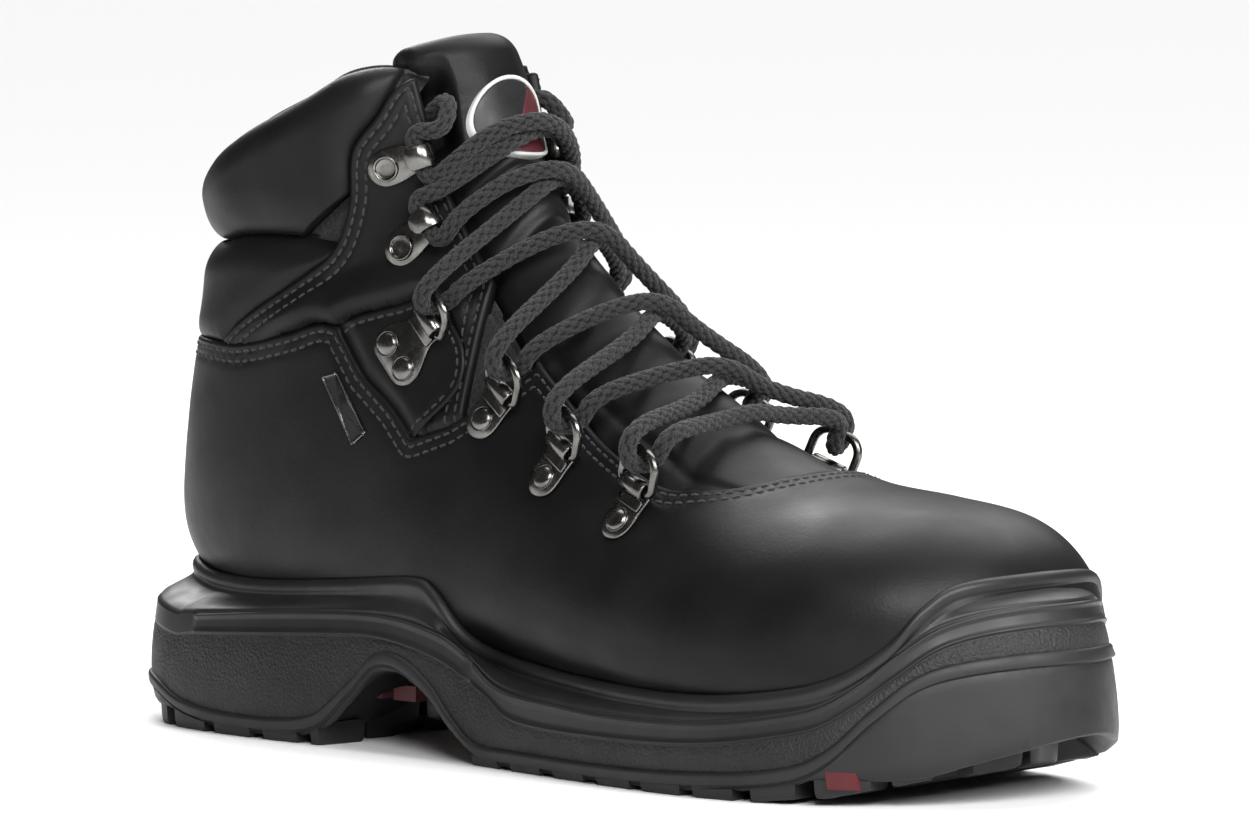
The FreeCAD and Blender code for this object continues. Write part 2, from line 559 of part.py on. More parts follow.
def badge(skin):
    """Oval badge on the tongue: a dark field with a rim, and a coloured half let into it."""
    seat = (BADGE_SEAT, (BADGE_SEAT[0] - 0.3, BADGE_SEAT[1]))
    half_height, half_width = BADGE_HALF
    frame = frame_at(seat, -1)
    layer = foot(-BADGE_THICK).cut(skin)
    oval = []
    for shrink in (0, BADGE_RIM):
        ellipse = Part.Ellipse(V(0, 0, 0), half_width - shrink, half_height - shrink).toShape()
        solid = Part.Face(Part.Wire(ellipse)).extrude(V(0, 0, 14))
        solid.rotate(V(0, 0, 0), V(0, 0, 1), 90)
        solid.translate(V(0, 0, -7))
        solid.Placement = FreeCAD.Placement(frame).multiply(solid.Placement)
        oval.append(solid)
    box = Part.makeBox(80, 40, 40, V(-40, BADGE_SPLIT, -20))
    box.rotate(V(0, 0, 0), V(0, 0, 1), BADGE_SLANT)
    box.Placement = FreeCAD.Placement(frame).multiply(box.Placement)
    inlay = layer.common(oval[1]).cut(box)
    return layer.common(oval[0]).cut(inlay), inlay


def hardware():
    made, rivets = {}, []
    for side, word in ((-1, "lateral"), (1, "medial")):
        for k, seat in enumerate(RING_SEATS + [ANKLE_SEAT], 1):
            if seat == ANKLE_SEAT:
                barrel_u, radius, spots = ANKLE_BARREL_U, ANKLE_TAIL_R, [-ANKLE_RIVET_V, ANKLE_RIVET_V]
            else:
                barrel_u, radius, spots = BARREL_U, TAIL_R, [0]
            made["ring_plate_%s_%d" % (word, k)] = placed(ring_plate(barrel_u, radius, spots), seat, side)
            made["d_ring_%s_%d" % (word, k)] = placed(d_ring(barrel_u), seat, side)
            rivets += [placed(rivet(v, PLATE_LIFT + PLATE_THICK), seat, side) for v in spots]
        for k, seat in enumerate(HOOK_SEATS, 1):
            made["lace_hook_%s_%d" % (word, k)] = placed(hook(), seat, side)
            rivets.append(placed(rivet(0, PLATE_LIFT + HOOK_THICK), seat, side))
    return made, rivets


def write(name, shape):
    shape = shape.copy()
    shape.translate(V(-ORIGIN_X, -ORIGIN_Y, 0))
    shape.exportStep("parts/%s.step" % name)


RIVETED = ["vamp_and_quarters", "hook_panel_lateral", "hook_panel_medial", "ankle_patch_lateral",
           "ankle_patch_medial", "upper_interlining", "collar_foam", "heel_flex_foam", "tongue_foam"]
WITH_CRUMBS = ["heel_flex_panel", "heel_flex_foam", "hook_panel_lateral", "hook_panel_medial",
               "upper_interlining"]
CRUMB = 0.02                          # share of the biggest solid below which a piece is a crumb


def main_solids(shape):
    """The shape without crumbs left by a cut."""
    biggest = max(s.Volume for s in shape.Solids)
    return Part.makeCompound([s for s in shape.Solids if s.Volume > CRUMB * biggest])


def build():
    parts, skin = upper_parts()
    parts["outsole"], parts["midsole"], parts["outsole_inserts"] = sole_unit(skin)
    parts["tongue_badge"], parts["tongue_badge_inlay"] = badge(skin)
    parts["side_tag"] = foot(-TAG_THICK).cut(skin).common(polygon(TAG)).common(half(-1))
    for name in WITH_CRUMBS:
        parts[name] = main_solids(parts[name])
    metal, rivets = hardware()
    for name in RIVETED:
        parts[name] = parts[name].cut(rivets)
    parts.update(metal)
    parts["lacing_rivets"] = Part.makeCompound(rivets)
    route = lace_route()
    parts["lace"] = tube(route, LACE_D / 2)
    parts["lace_aglets"] = Part.makeCompound([aglet(route[0], route[1]), aglet(route[-1], route[-2])])
    return parts


if __name__ == "__main__":
    os.makedirs("parts", exist_ok=True)
    for part_name, part_shape in build().items():
        write(part_name, part_shape)
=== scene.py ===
import bpy
import math
import numpy as np
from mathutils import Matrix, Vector
from mathutils.bvhtree import BVHTree


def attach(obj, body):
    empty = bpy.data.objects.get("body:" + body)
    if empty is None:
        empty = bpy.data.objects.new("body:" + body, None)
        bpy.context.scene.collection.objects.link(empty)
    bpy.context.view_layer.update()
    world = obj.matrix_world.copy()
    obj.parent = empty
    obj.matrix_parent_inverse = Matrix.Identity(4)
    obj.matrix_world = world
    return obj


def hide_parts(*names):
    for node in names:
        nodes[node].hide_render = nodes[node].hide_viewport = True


# Steel toe work boot. The outlines below are in millimetres in the drawing of the CAD model, where x = 0 is
# near the heel. place() moves them to the frame and to metres.
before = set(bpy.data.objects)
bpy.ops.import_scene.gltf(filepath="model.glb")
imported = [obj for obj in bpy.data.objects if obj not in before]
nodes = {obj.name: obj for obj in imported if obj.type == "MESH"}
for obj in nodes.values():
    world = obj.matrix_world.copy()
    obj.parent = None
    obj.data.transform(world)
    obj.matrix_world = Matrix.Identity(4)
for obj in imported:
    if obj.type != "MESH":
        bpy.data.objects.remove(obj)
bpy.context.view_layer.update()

MM = 0.001
ORIGIN = np.array([150.5, -3.6, 0.0])

# ------------------------------------------------------------------ lasted upper, as in the CAD model
# ridge x, z | base x, z | half width lateral, medial | centre y | height share of the widest level
# | exponent of the upper half | exponent of the lower half
STATIONS = np.array([
    (293, 38, 293, 36, 1, 1, 9, .45, 2, 2),
    (291, 50, 292, 25, 18, 16, 8.5, .42, 2.2, 2.6),
    (284, 62, 285, 21, 33, 27, 7, .38, 2.4, 3.0),
    (271, 69.5, 272, 19, 44, 34.5, 5.5, .36, 2.5, 3.2),
    (251, 73, 253, 18, 51, 40.5, 3, .33, 2.4, 3.4),
    (228, 76, 229, 18, 54, 43.5, 1.5, .30, 2.2, 3.4),
    (202, 85, 197, 19, 52, 42, 1.5, .28, 2.0, 3.4),
    (176, 101, 158, 22, 45, 38, 1, .28, 1.8, 3.2),
    (152, 119, 112, 26, 38, 35.5, 1, .30, 1.75, 3.0),
    (134, 136, 66, 28, 35, 34.5, 1, .36, 1.8, 2.8),
    (124, 149, 30, 30, 34, 34, 1, .42, 1.9, 2.6),
    (118, 158, 6, 45, 33.5, 33.5, 1, .46, 2.0, 2.4),
    (114, 165, 6, 76, 34, 34, 1, .48, 2.1, 2.3),
    (112, 171, 12, 105, 35, 35, 1, .50, 2.1, 2.3),
    (110, 177, 16, 126, 36, 37, 1, .50, 2.1, 2.3),
    (106, 186, 15, 148, 37, 38, 1, .50, 2.1, 2.3),
    (102, 197, 13, 162, 38, 39, 1, .50, 2.1, 2.3),
])
LEATHER = 2.0
COLLAR_PADDING = 5.0
TOE_RINGS = 3.0
SHAFT_RING = 12.0

# Side-view lines (x, z) and the sole's plan, as in the CAD model
SOLE_LATERAL = [(-4, 0), (-1, -16), (8, -29), (30, -38), (62, -41), (100, -41), (140, -45), (175, -51),
                (205, -55), (232, -55), (258, -49), (280, -37), (296, -21), (304, -4)]
SOLE_MEDIAL = [(305, 8), (303, 15), (297, 25), (284, 37), (262, 45), (235, 48), (205, 47), (175, 42),
               (140, 37), (100, 36), (65, 38), (32, 36), (9, 28), (-1, 16)]
SOLE_LEVELS = [(-1, 3.0), (12, 0.0), (30, 1.2), (45, 4.5), (62, 11.0)]
MIDSOLE_TOP = [(-20, 47), (10, 42.5), (30, 41), (55, 41.5), (85, 44), (112, 46.5), (121, 43.5), (131, 33),
               (142, 29), (165, 26.5), (192, 25.5), (222, 25.5), (247, 28), (263, 32), (275, 40), (283, 50),
               (292, 55.5), (315, 57)]
OUTSOLE_TOP = [(-20, 14), (10, 13.5), (28, 8), (52, 6), (78, 8), (93, 18), (102, 26), (112, 26), (124, 20),
               (133, 12), (142, 6), (160, 5.5), (192, 5.5), (225, 6.5), (250, 9), (262, 14), (273, 25),
               (284, 34), (300, 38), (315, 38)]
OUTSOLE_BOTTOM = [(-20, 2.5), (2, 0.6), (12, 0), (80, 0), (87, 9), (97, 15), (104, 17), (111, 17),
                  (121, 12.5), (131, 5.5), (139, 0), (240, 0), (262, 2.2), (285, 7.5), (300, 13.5), (315, 21)]
BODY_TOP = [(-25, 106), (10, 105), (28, 104.5), (45, 104), (63, 107.5), (73, 110.5), (80, 110)]
BODY_NOTCH = [(89, 98), (101, 89), (108, 82), (120, 86), (134, 94), (142, 101)]
CREASE = [(-25, 130), (27, 130.5), (46, 132.5), (65, 132.5), (84, 131)]
STRIP = [(97, 178), (92, 166), (85, 156), (83, 142), (78, 130), (67, 122), (45, 110), (36, 103), (30, 98)]
RIM = [(-25, 149), (15, 149.5), (27, 150), (48, 159), (70, 168), (83, 175), (95, 177.5), (104, 175),
       (124, 164)]
PATCH = [(80, 110), (86, 113), (98, 116), (108, 118), (119, 108), (122, 99), (119, 92), (108, 82)]
THROAT = [(-75, 22.5), (-51, 21.5), (-41, 20), (-24, 18), (-3, 18), (15, 19.5), (42, 24), (64, 29),
          (85, 32.5), (93, 30), (99, 24), (101.5, 12), (102, 0)]
THROAT_START = 140.0


# ------------------------------------------------------------------ numbers on curves
def catmull(values, t):
    """Smooth curve through values at t = 0, 1, 2 ... for an array of t."""
    values = np.asarray(values, float)
    last = len(values) - 1
    i = np.clip(np.asarray(t).astype(int), 0, last - 1)
    f = t - i
    b, c = values[i], values[i + 1]
    a = np.where(i > 0, values[np.maximum(i - 1, 0)], 2 * b - c)
    d = np.where(i + 2 <= last, values[np.minimum(i + 2, last)], 2 * c - b)
    return 0.5 * (2 * b + (c - a) * f + (2 * a - 5 * b + 4 * c - d) * f ** 2
                  + (3 * b - a - 3 * c + d) * f ** 3)


def smooth_curve(points, steps=12):
    """Polyline of a smooth curve through a list of points."""
    points = np.asarray(points, float)
    t = np.linspace(0, len(points) - 1, steps * (len(points) - 1) + 1)
    return np.stack([catmull(points[:, k], t) for k in range(points.shape[1])], 1)


def line_height(points, x):
    """Height of a smooth side-view line at x."""
    curve = smooth_curve(points)
    return np.interp(x, curve[:, 0], curve[:, 1])


def ease(x):
    x = np.clip(x, 0, 1)
    return x * x * (3 - 2 * x)


def quarter_round(share):
    """Height of a quarter circle at a share of its radius, 0 at the edge and 1 from 1 on."""
    share = np.clip(share, 0, 1)
    return np.sqrt(np.maximum(0, 1 - (1 - share) ** 2))


def place(points):
    """Drawn millimetres to metres in the frame."""
    return (np.asarray(points, float) - ORIGIN) * MM


# ------------------------------------------------------------------ faces between rows of points
def grid_quads(rows, columns):
    """Faces of a grid of points."""
    index = np.arange(rows * columns).reshape(rows, columns)
    return np.stack([index[:-1, :-1], index[1:, :-1], index[1:, 1:], index[:-1, 1:]], -1).reshape(-1, 4)


def walls(rings, count, closed=False, flip=False):
    """Faces between rings of points that follow each other. Closed joins the last ring to the first."""
    faces = []
    for ring in range(rings if closed else rings - 1):
        here, after = ring * count, (ring + 1) % rings * count
        for k in range(count):
            j = (k + 1) % count
            face = (here + k, here + j, after + j, after + k)
            faces.append((face[0], face[3], face[2], face[1]) if flip else face)
    return faces


def ends(rings, count):
    """Faces that close the first and the last ring."""
    return [tuple(range(count))[::-1], tuple(range((rings - 1) * count, rings * count))]


# ------------------------------------------------------------------ the lasted surface
def surface(t, a, depth=0.0):
    """Points of the upper at ring t and share a of the ring, moved inwards by depth."""
    t, a = np.broadcast_arrays(np.asarray(t, float), np.asarray(a, float))
    rx, rz, bx, bz, lateral, medial, cy, level, upper, lower = [catmull(c, t) for c in STATIONS.T]
    if depth > LEATHER:
        depth = depth + COLLAR_PADDING * ease((t - SHAFT_RING) / 1.5)
    toe = depth * np.maximum(0.0, 1 - t / TOE_RINGS)
    height = np.hypot(rx - bx, rz - bz)
    ux, uz = (rx - bx) / height, (rz - bz) / height
    inset = np.minimum(depth, 0.4 * height)
    rx, rz, bx, bz = rx - ux * inset - toe, rz - uz * inset, bx + ux * inset - toe, bz + uz * inset
    angle = 2 * math.pi * (a - 0.25)
    sine, cosine = np.sin(angle), np.cos(angle)
    power = np.where(sine > 0, upper, lower)
    width = np.maximum(np.where(cosine > 0, lateral, medial), 1.0)
    width = np.maximum(width - depth, np.where(width < 25, 0.5 * width, 0))
    across = np.sign(cosine) * np.abs(cosine) ** (2 / power)
    along = np.sign(sine) * np.abs(sine) ** (2 / power)
    share = np.where(sine > 0, level + (1 - level) * along, level + level * along)
    return np.stack([bx + (rx - bx) * share, cy - width * across, bz + (rz - bz) * share], -1)


def normals(t, a, depth=0.0):
    """Outward unit normals of the upper."""
    along = surface(t + 0.02, a, depth) - surface(t - 0.02, a, depth)
    around = surface(t, a + 0.002, depth) - surface(t, a - 0.002, depth)
    n = np.cross(along, around)
    n /= np.maximum(np.linalg.norm(n, axis=-1, keepdims=True), 1e-9)
    middle = (surface(t, 0.25) + surface(t, 0.75)) * 0.5
    out = np.sum(n * (surface(t, a) - middle), -1, keepdims=True)
    return n * np.where(out > 0, 1, -1)


# ------------------------------------------------------------------ distances to outlines
def outline_distance(points, outline):
    """Signed distance of 2-D points to a closed polygon, positive inside."""
    p = np.asarray(outline, float)
    q = np.roll(p, -1, 0)
    best = np.full(len(points), np.inf)
    inside = np.zeros(len(points), bool)
    x, y = points[:, 0], points[:, 1]
    for (ax, ay), (bx, by) in zip(p, q):
        dx, dy = bx - ax, by - ay
        size = max(dx * dx + dy * dy, 1e-12)
        f = np.clip(((x - ax) * dx + (y - ay) * dy) / size, 0, 1)
        best = np.minimum(best, np.hypot(x - ax - f * dx, y - ay - f * dy))
        if ay != by:
            inside ^= ((ay > y) != (by > y)) & (x < (bx - ax) * (y - ay) / (by - ay) + ax)
    return np.where(inside, best, -best)


def side_view(curve, corners):
    """Distance function of a region in the XZ plane."""
    outline = np.vstack([smooth_curve(curve), np.asarray(corners, float)])
    return lambda p: outline_distance(p[:, [0, 2]], outline)


def square_to_instep(p):
    """Distance outside the throat, seen square to the instep."""
    s, out = (p[:, 0] - p[:, 2]) * math.sqrt(0.5), (p[:, 0] + p[:, 2]) * math.sqrt(0.5)
    edge = smooth_curve(THROAT)
    outline = np.vstack([[(-200, 22.5)], edge, edge[-2::-1] * (1, -1), [(-200, -22.5)]])
    distance = -outline_distance(np.stack([s, p[:, 1]], 1), outline)
    return np.where(out > THROAT_START, distance, 60.0)


def along_surface(flat):
    """Turn a distance seen in a flat view into one measured along the surface."""
    dt, da = 0.01, 0.0005

    def field(par):
        t, a = par[:, 0], par[:, 1]
        ahead, back = surface(t + dt, a), surface(t - dt, a)
        right, left = surface(t, a + da), surface(t, a - da)
        gt, ga = flat(ahead) - flat(back), flat(right) - flat(left)
        pt, pa = ahead - back, right - left
        e, f, g = (pt * pt).sum(1), (pt * pa).sum(1), (pa * pa).sum(1)
        slope = np.sqrt(np.maximum(0, (g * gt ** 2 - 2 * f * gt * ga + e * ga ** 2)
                                   / np.maximum(e * g - f * f, 1e-12)))
        return flat(surface(t, a)) / np.clip(slope, 0.3, 1.5)
    return field


body_side = along_surface(side_view(BODY_TOP, BODY_NOTCH + [(142, 260), (360, 260), (360, -60), (-60, -60)]))
back_side = along_surface(side_view(STRIP, [(-60, 98), (-60, 260), (97, 260)]))
above_crease = along_surface(side_view(CREASE, [(112, 130), (112, 260), (-25, 260)]))
below_rim = along_surface(side_view(RIM, [(124, -60), (-25, -60)]))
patch_side = along_surface(side_view(PATCH, [(100, 76), (80, 97), (70, 108)]))
facing_side = along_surface(square_to_instep)
above_sole = along_surface(side_view(MIDSOLE_TOP, [(315, 260), (-20, 260)]))


# ------------------------------------------------------------------ meshes on the surface
class Patch:
    """A grid of (t, a) cut along lines of a field, so that its edges and rows follow them."""

    def __init__(self, t_range, t_steps, a_range, a_steps):
        t, a = np.linspace(*t_range, t_steps + 1), np.linspace(*a_range, a_steps + 1)
        grid = np.stack(np.meshgrid(t, a, indexing="ij"), -1)
        self.par = grid.reshape(-1, 2)
        self.quads = grid_quads(*grid.shape[:2])
        self.others = []
        self.rows = {}
        self.known = {}

    def values(self, field):
        """The field at every point, worked out once for each point."""
        known = self.known.get(field, np.zeros(0))
        if len(known) < len(self.par):
            known = np.concatenate([known, field(self.par[len(known):])])
            self.known[field] = known
        return known

    def cut(self, field, level=0.0, drop=False, row=None):
        """Split every face that the line crosses. With drop, the side below the level goes."""
        s = self._snap(field, level)
        s[np.abs(s) < 1e-9] = 0
        par, extra, made = self.par, [], {}

        def crossing(i, j):
            key = (i, j) if i < j else (j, i)
            if key not in made:
                f = s[i] / (s[i] - s[j])
                made[key] = len(par) + len(extra)
                extra.append(par[i] + f * (par[j] - par[i]))
                for points in self.rows.values():
                    if i in points and j in points:
                        points.add(made[key])
            return made[key]

        low, high = s[self.quads].min(1), s[self.quads].max(1)
        crossed = (low < 0) & (high > 0)
        keep = self.quads[~crossed & ((high > 0) | (not drop))]
        todo = [tuple(q) for q in self.quads[crossed]] + self.others
        others = []
        for face in todo:
            values = [s[i] for i in face]
            if min(values) >= 0 or max(values) <= 0:
                if max(values) > 0 or not drop:
                    others.append(face)
                continue
            above, below = [], []
            for i, j in zip(face, face[1:] + face[:1]):
                if s[i] >= 0:
                    above.append(i)
                if s[i] <= 0:
                    below.append(i)
                if s[i] * s[j] < 0:
                    k = crossing(i, j)
                    above.append(k)
                    below.append(k)
            for part, wanted in ((above, True), (below, not drop)):
                if wanted and len(part) > 2:
                    others.append(tuple(part))
        if row is not None:
            on_line = set(np.nonzero(s == 0)[0]) | set(made.values())
            self.rows[row] = on_line
        self.quads, self.others = keep, others
        if extra:
            self.par = np.vstack([par, np.array(extra)])

    def _snap(self, field, level):
        """Move points that lie very near the line onto it, so that no sliver is cut."""
        s = self.values(field) - level
        quads = self.quads[(s[self.quads].min(1) < 0) & (s[self.quads].max(1) > 0)]
        moved = set()
        for k in range(4):
            i, j = quads[:, k], quads[:, (k + 1) % 4]
            crossed = s[i] * s[j] < 0
            i, j = i[crossed], j[crossed]
            f = s[i] / (s[i] - s[j])
            for start, end, share in ((i, j, f), (j, i, 1 - f)):
                near = (share < 0.18) & (s[start] != 0)
                self.par[start[near]] += share[near, None] * (self.par[end[near]] - self.par[start[near]])
                s[start[near]] = 0
                moved.update(start[near].tolist())
        moved = np.array(sorted(moved), int)
        if len(moved):
            for other, known in self.known.items():
                known[moved] = other(self.par[moved]) if other is not field else level
        return s

    def faces(self):
        return [tuple(int(i) for i in q) for q in self.quads] + self.others

    def line(self, row):
        """Chains of points along a kept row."""
        on_line = self.rows[row]
        links = {}
        for face in self.faces():
            for i, j in zip(face, face[1:] + face[:1]):
                if i in on_line and j in on_line:
                    links.setdefault(i, set()).add(j)
                    links.setdefault(j, set()).add(i)
        chains, seen = [], set()
        starts = sorted(links, key=lambda i: (len(links[i]) != 1, i))
        for start in starts:
            if start in seen:
                continue
            chain, here = [start], start
            seen.add(start)
            while True:
                ahead = [j for j in sorted(links[here]) if j not in seen]
                if not ahead:
                    break
                here = ahead[0]
                seen.add(here)
                chain.append(here)
            if len(chain) > 6:
                chains.append(chain)
        return chains


def new_object(name, points, faces, materials, indices=None, smooth=True):
    mesh = bpy.data.meshes.new(name)
    mesh.from_pydata(np.asarray(points).tolist(), [], [list(f) for f in faces])
    for material in materials:
        mesh.materials.append(material)
    if indices is not None:
        mesh.polygons.foreach_set("material_index", indices)
    mesh.polygons.foreach_set("use_smooth", [smooth] * len(mesh.polygons))
    mesh.update()
    made = bpy.data.objects.new(name, mesh)
    bpy.context.scene.collection.objects.link(made)
    return made


def settle(piece, slot, body="root", stands_for=()):
    """Ride a finished piece on its body and hide the CAD nodes that it stands for."""
    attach(piece, body)
    if stands_for:
        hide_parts(*stands_for)
    return piece


def closed_sheet(name, patch, outer, inner, material, weld=True):
    """A panel with an outer face, an inner face and a rim between them."""
    faces = patch.faces()
    used = sorted({i for f in faces for i in f})
    place_of = {i: k for k, i in enumerate(used)}
    par = patch.par[used]
    seam = {}
    if weld:
        whole = {(round(float(t), 5), round(float(a) % 1, 5)): k for k, (t, a) in enumerate(par)}
        seam = {k: whole[(round(float(t), 5), round(float(a) % 1, 5))] for k, (t, a) in enumerate(par)}
    faces = [tuple(seam.get(place_of[i], place_of[i]) for i in f) for f in faces]
    faces = [f for f in faces if len(set(f)) == len(f)]
    count = len(used)
    edges = {}
    for f in faces:
        for i, j in zip(f, f[1:] + f[:1]):
            edges[(i, j)] = edges.get((i, j), 0) + 1
    rim = [(i, j) for i, j in edges if (j, i) not in edges]
    solid = faces + [tuple(i + count for i in reversed(f)) for f in faces]
    solid += [(j, i, i + count, j + count) for i, j in rim]
    points = np.vstack([outer[used], inner[used]])
    solid_used = sorted({i for f in solid for i in f})
    renumber = {i: k for k, i in enumerate(solid_used)}
    solid = [tuple(renumber[i] for i in f) for f in solid]
    return new_object(name, place(points[solid_used]), solid, [material])


# ------------------------------------------------------------------ materials
class Shader:
    """A Principled material with a few procedural nodes."""

    def __init__(self, name, colour, roughness, **inputs):
        self.material = bpy.data.materials.new(name)
        self.material.use_nodes = True
        self.tree = self.material.node_tree
        self.base = self.tree.nodes["Principled BSDF"]
        self.base.inputs["Base Color"].default_value = (*colour, 1)
        self.base.inputs["Roughness"].default_value = roughness
        for key, value in inputs.items():
            self.base.inputs[key.replace("_", " ")].default_value = value
        self.where = self.tree.nodes.new("ShaderNodeTexCoord").outputs["Object"]
        self.height = None

    def node(self, kind, sockets=(), **values):
        made = self.tree.nodes.new("ShaderNode" + kind)
        for key, value in values.items():
            setattr(made, key, value)
        for key, value in dict(sockets).items():
            if isinstance(value, bpy.types.NodeSocket):
                self.tree.links.new(value, made.inputs[key])
            else:
                made.inputs[key].default_value = value
        return made

    def noise(self, size, detail=3.0, roughness=0.5, stretch=None):
        """Noise with features of about that size in millimetres."""
        where = self.where
        if stretch:
            where = self.node("Mapping", {"Vector": where, "Scale": stretch}).outputs["Vector"]
        return self.node("TexNoise", {"Vector": where, "Scale": 1 / (size * MM), "Detail": detail,
                                      "Roughness": roughness}).outputs["Fac"]

    def cells(self, size, feature="F1"):
        made = self.node("TexVoronoi", {"Vector": self.where, "Scale": 1 / (size * MM)}, feature=feature)
        return made.outputs["Distance"]

    def ramp(self, value, low, high, start=0.3, end=0.7):
        made = self.node("ValToRGB", {"Fac": value})
        elements = made.color_ramp.elements
        elements[0].position, elements[1].position = start, end
        elements[0].color, elements[1].color = (*low, 1), (*high, 1)
        return made.outputs["Color"]

    def colour(self, value, low, high, start=0.3, end=0.7):
        self.tree.links.new(self.ramp(value, low, high, start, end), self.base.inputs["Base Color"])
        return self

    def rough(self, value, low, high, start=0.3, end=0.7):
        made = self.node("MapRange", {"Value": value, "From Min": start, "From Max": end, "To Min": low,
                                      "To Max": high})
        self.tree.links.new(made.outputs["Result"], self.base.inputs["Roughness"])
        return self

    def bump(self, value, strength, depth):
        """Add relief of that depth in millimetres."""
        sockets = {"Height": value, "Strength": strength, "Distance": depth * MM}
        if self.height is not None:
            sockets["Normal"] = self.height
        self.height = self.node("Bump", sockets).outputs["Normal"]
        self.tree.links.new(self.height, self.base.inputs["Normal"])
        return self


def leather(name, grain=1.0, shine=0.40):
    made = Shader(name, (0.005, 0.005, 0.005), shine, Specular_IOR_Level=0.17)
    made.colour(made.noise(30), (0.0035, 0.0035, 0.0038), (0.0075, 0.0073, 0.0075))
    made.rough(made.noise(14, 4), shine - 0.04, shine + 0.07)
    made.bump(made.cells(0.9, "SMOOTH_F1"), 0.35 * grain, 0.09)
    made.bump(made.noise(0.5, 4, 0.6), 0.5 * grain, 0.06)
    made.bump(made.noise(9, 3), 0.25, 0.3)
    return made.material


def moulded(name, grain, depth, shine):
    made = Shader(name, (0.012, 0.012, 0.012), shine, Specular_IOR_Level=0.32)
    made.colour(made.noise(25), (0.008, 0.008, 0.0085), (0.014, 0.014, 0.0145))
    made.rough(made.noise(6, 4), shine - 0.04, shine + 0.08)
    made.bump(made.noise(grain, 2.5, 0.55), 0.9, depth)
    return made.material


def rubber(name, low, high, shine):
    made = Shader(name, high, shine, Specular_IOR_Level=0.32)
    made.colour(made.noise(20), low, high)
    made.rough(made.noise(5, 4), shine - 0.05, shine + 0.1)
    made.bump(made.noise(1.2, 4, 0.6), 0.25, 0.12)
    return made.material


def fabric(name, low, high, thread):
    made = Shader(name, high, 0.85, Sheen_Weight=0.12, Sheen_Roughness=0.5, Specular_IOR_Level=0.15)
    made.colour(made.noise(thread, 2), low, high)
    made.bump(made.cells(thread), 0.8, 0.3)
    made.bump(made.noise(0.25, 3, 0.7), 0.5, 0.08)
    return made.material


def metal(name, low, high, shine):
    made = Shader(name, high, shine, Metallic=1.0)
    made.colour(made.noise(4, 4), low, high)
    made.rough(made.noise(1.5, 4, 0.6), shine - 0.06, shine + 0.1)
    made.bump(made.noise(0.5, 3), 0.12, 0.03)
    return made.material


LEATHER_SMOOTH = leather("leather_smooth", 0.8, 0.40)
LEATHER_SOFT = leather("leather_soft", 1.0, 0.43)
THREAD = fabric("thread", (0.016, 0.016, 0.016), (0.045, 0.045, 0.045), 0.35)
PU_SMOOTH = moulded("pu_smooth", 0.9, 0.03, 0.42)
PU_PEBBLE = moulded("pu_pebble", 0.8, 0.6, 0.5)
RUBBER = rubber("outsole_rubber", (0.009, 0.009, 0.0095), (0.016, 0.016, 0.0165), 0.48)
RED_RUBBER = rubber("red_rubber", (0.055, 0.006, 0.009), (0.09, 0.011, 0.014), 0.45)
KNIT = fabric("knit", (0.010, 0.010, 0.011), (0.026, 0.026, 0.027), 0.9)
CORD = fabric("lace_cord", (0.012, 0.012, 0.012), (0.032, 0.032, 0.032), 0.4)
# Much darker copy of the lace cord, used as painted shade in the braid's grooves.
CORD_PAINTED_GROOVE_SHADE = fabric("lace_cord_painted_groove_shade", (0.003, 0.003, 0.003), (0.008, 0.008, 0.008), 0.4)
# Dark gunmetal whose base colour is darkened further as a painted dark reflection of a dark studio: partly
# the metal's own tone, partly painted reflection.
NICKEL_WITH_PAINTED_DARK_REFLECTION = metal("dark_nickel_with_painted_reflection", (0.10, 0.097, 0.092), (0.19, 0.185, 0.176), 0.22)
BADGE_RED = rubber("badge_red", (0.05, 0.010, 0.014), (0.07, 0.014, 0.018), 0.42)
BADGE_DARK = rubber("badge_dark", (0.008, 0.008, 0.0085), (0.013, 0.013, 0.0135), 0.42)
BADGE_PALE = rubber("badge_pale", (0.42, 0.42, 0.41), (0.55, 0.55, 0.54), 0.4)


# ------------------------------------------------------------------ camera, floor and light
AZIMUTH, ELEVATION, DISTANCE = math.radians(42.0), math.radians(4.4), 2.0
TARGET = Vector(place((155.0, 0.0, 90.5)))
SENSOR_WIDTH, LENS, SHIFT_X, CLIP_END = 36.0, 222.8, -0.004, 100.0
FLOOR_COLOUR, FLOOR_ROUGHNESS, FLOOR_SPECULAR, FLOOR_HALF = (0.86, 0.86, 0.86, 1), 0.75, 0.2, 30.0
LAMP_AIM = (0.03, 0, 0.07)
WORLD_STRENGTH = 0.10
SUN_STRENGTH, SUN_ANGLE, SUN_FROM = 3.5, 70.0, (-0.25, 0.45, 1.0)
# Soft boxes: place, side and power
LAMPS = [("key", (1.4, -0.15, 0.85), 0.7, 27.0), ("front", (1.05, -0.95, 0.95), 0.6, 22.0),
         ("edge", (-1.1, 0.6, 0.9), 0.6, 8.0)]


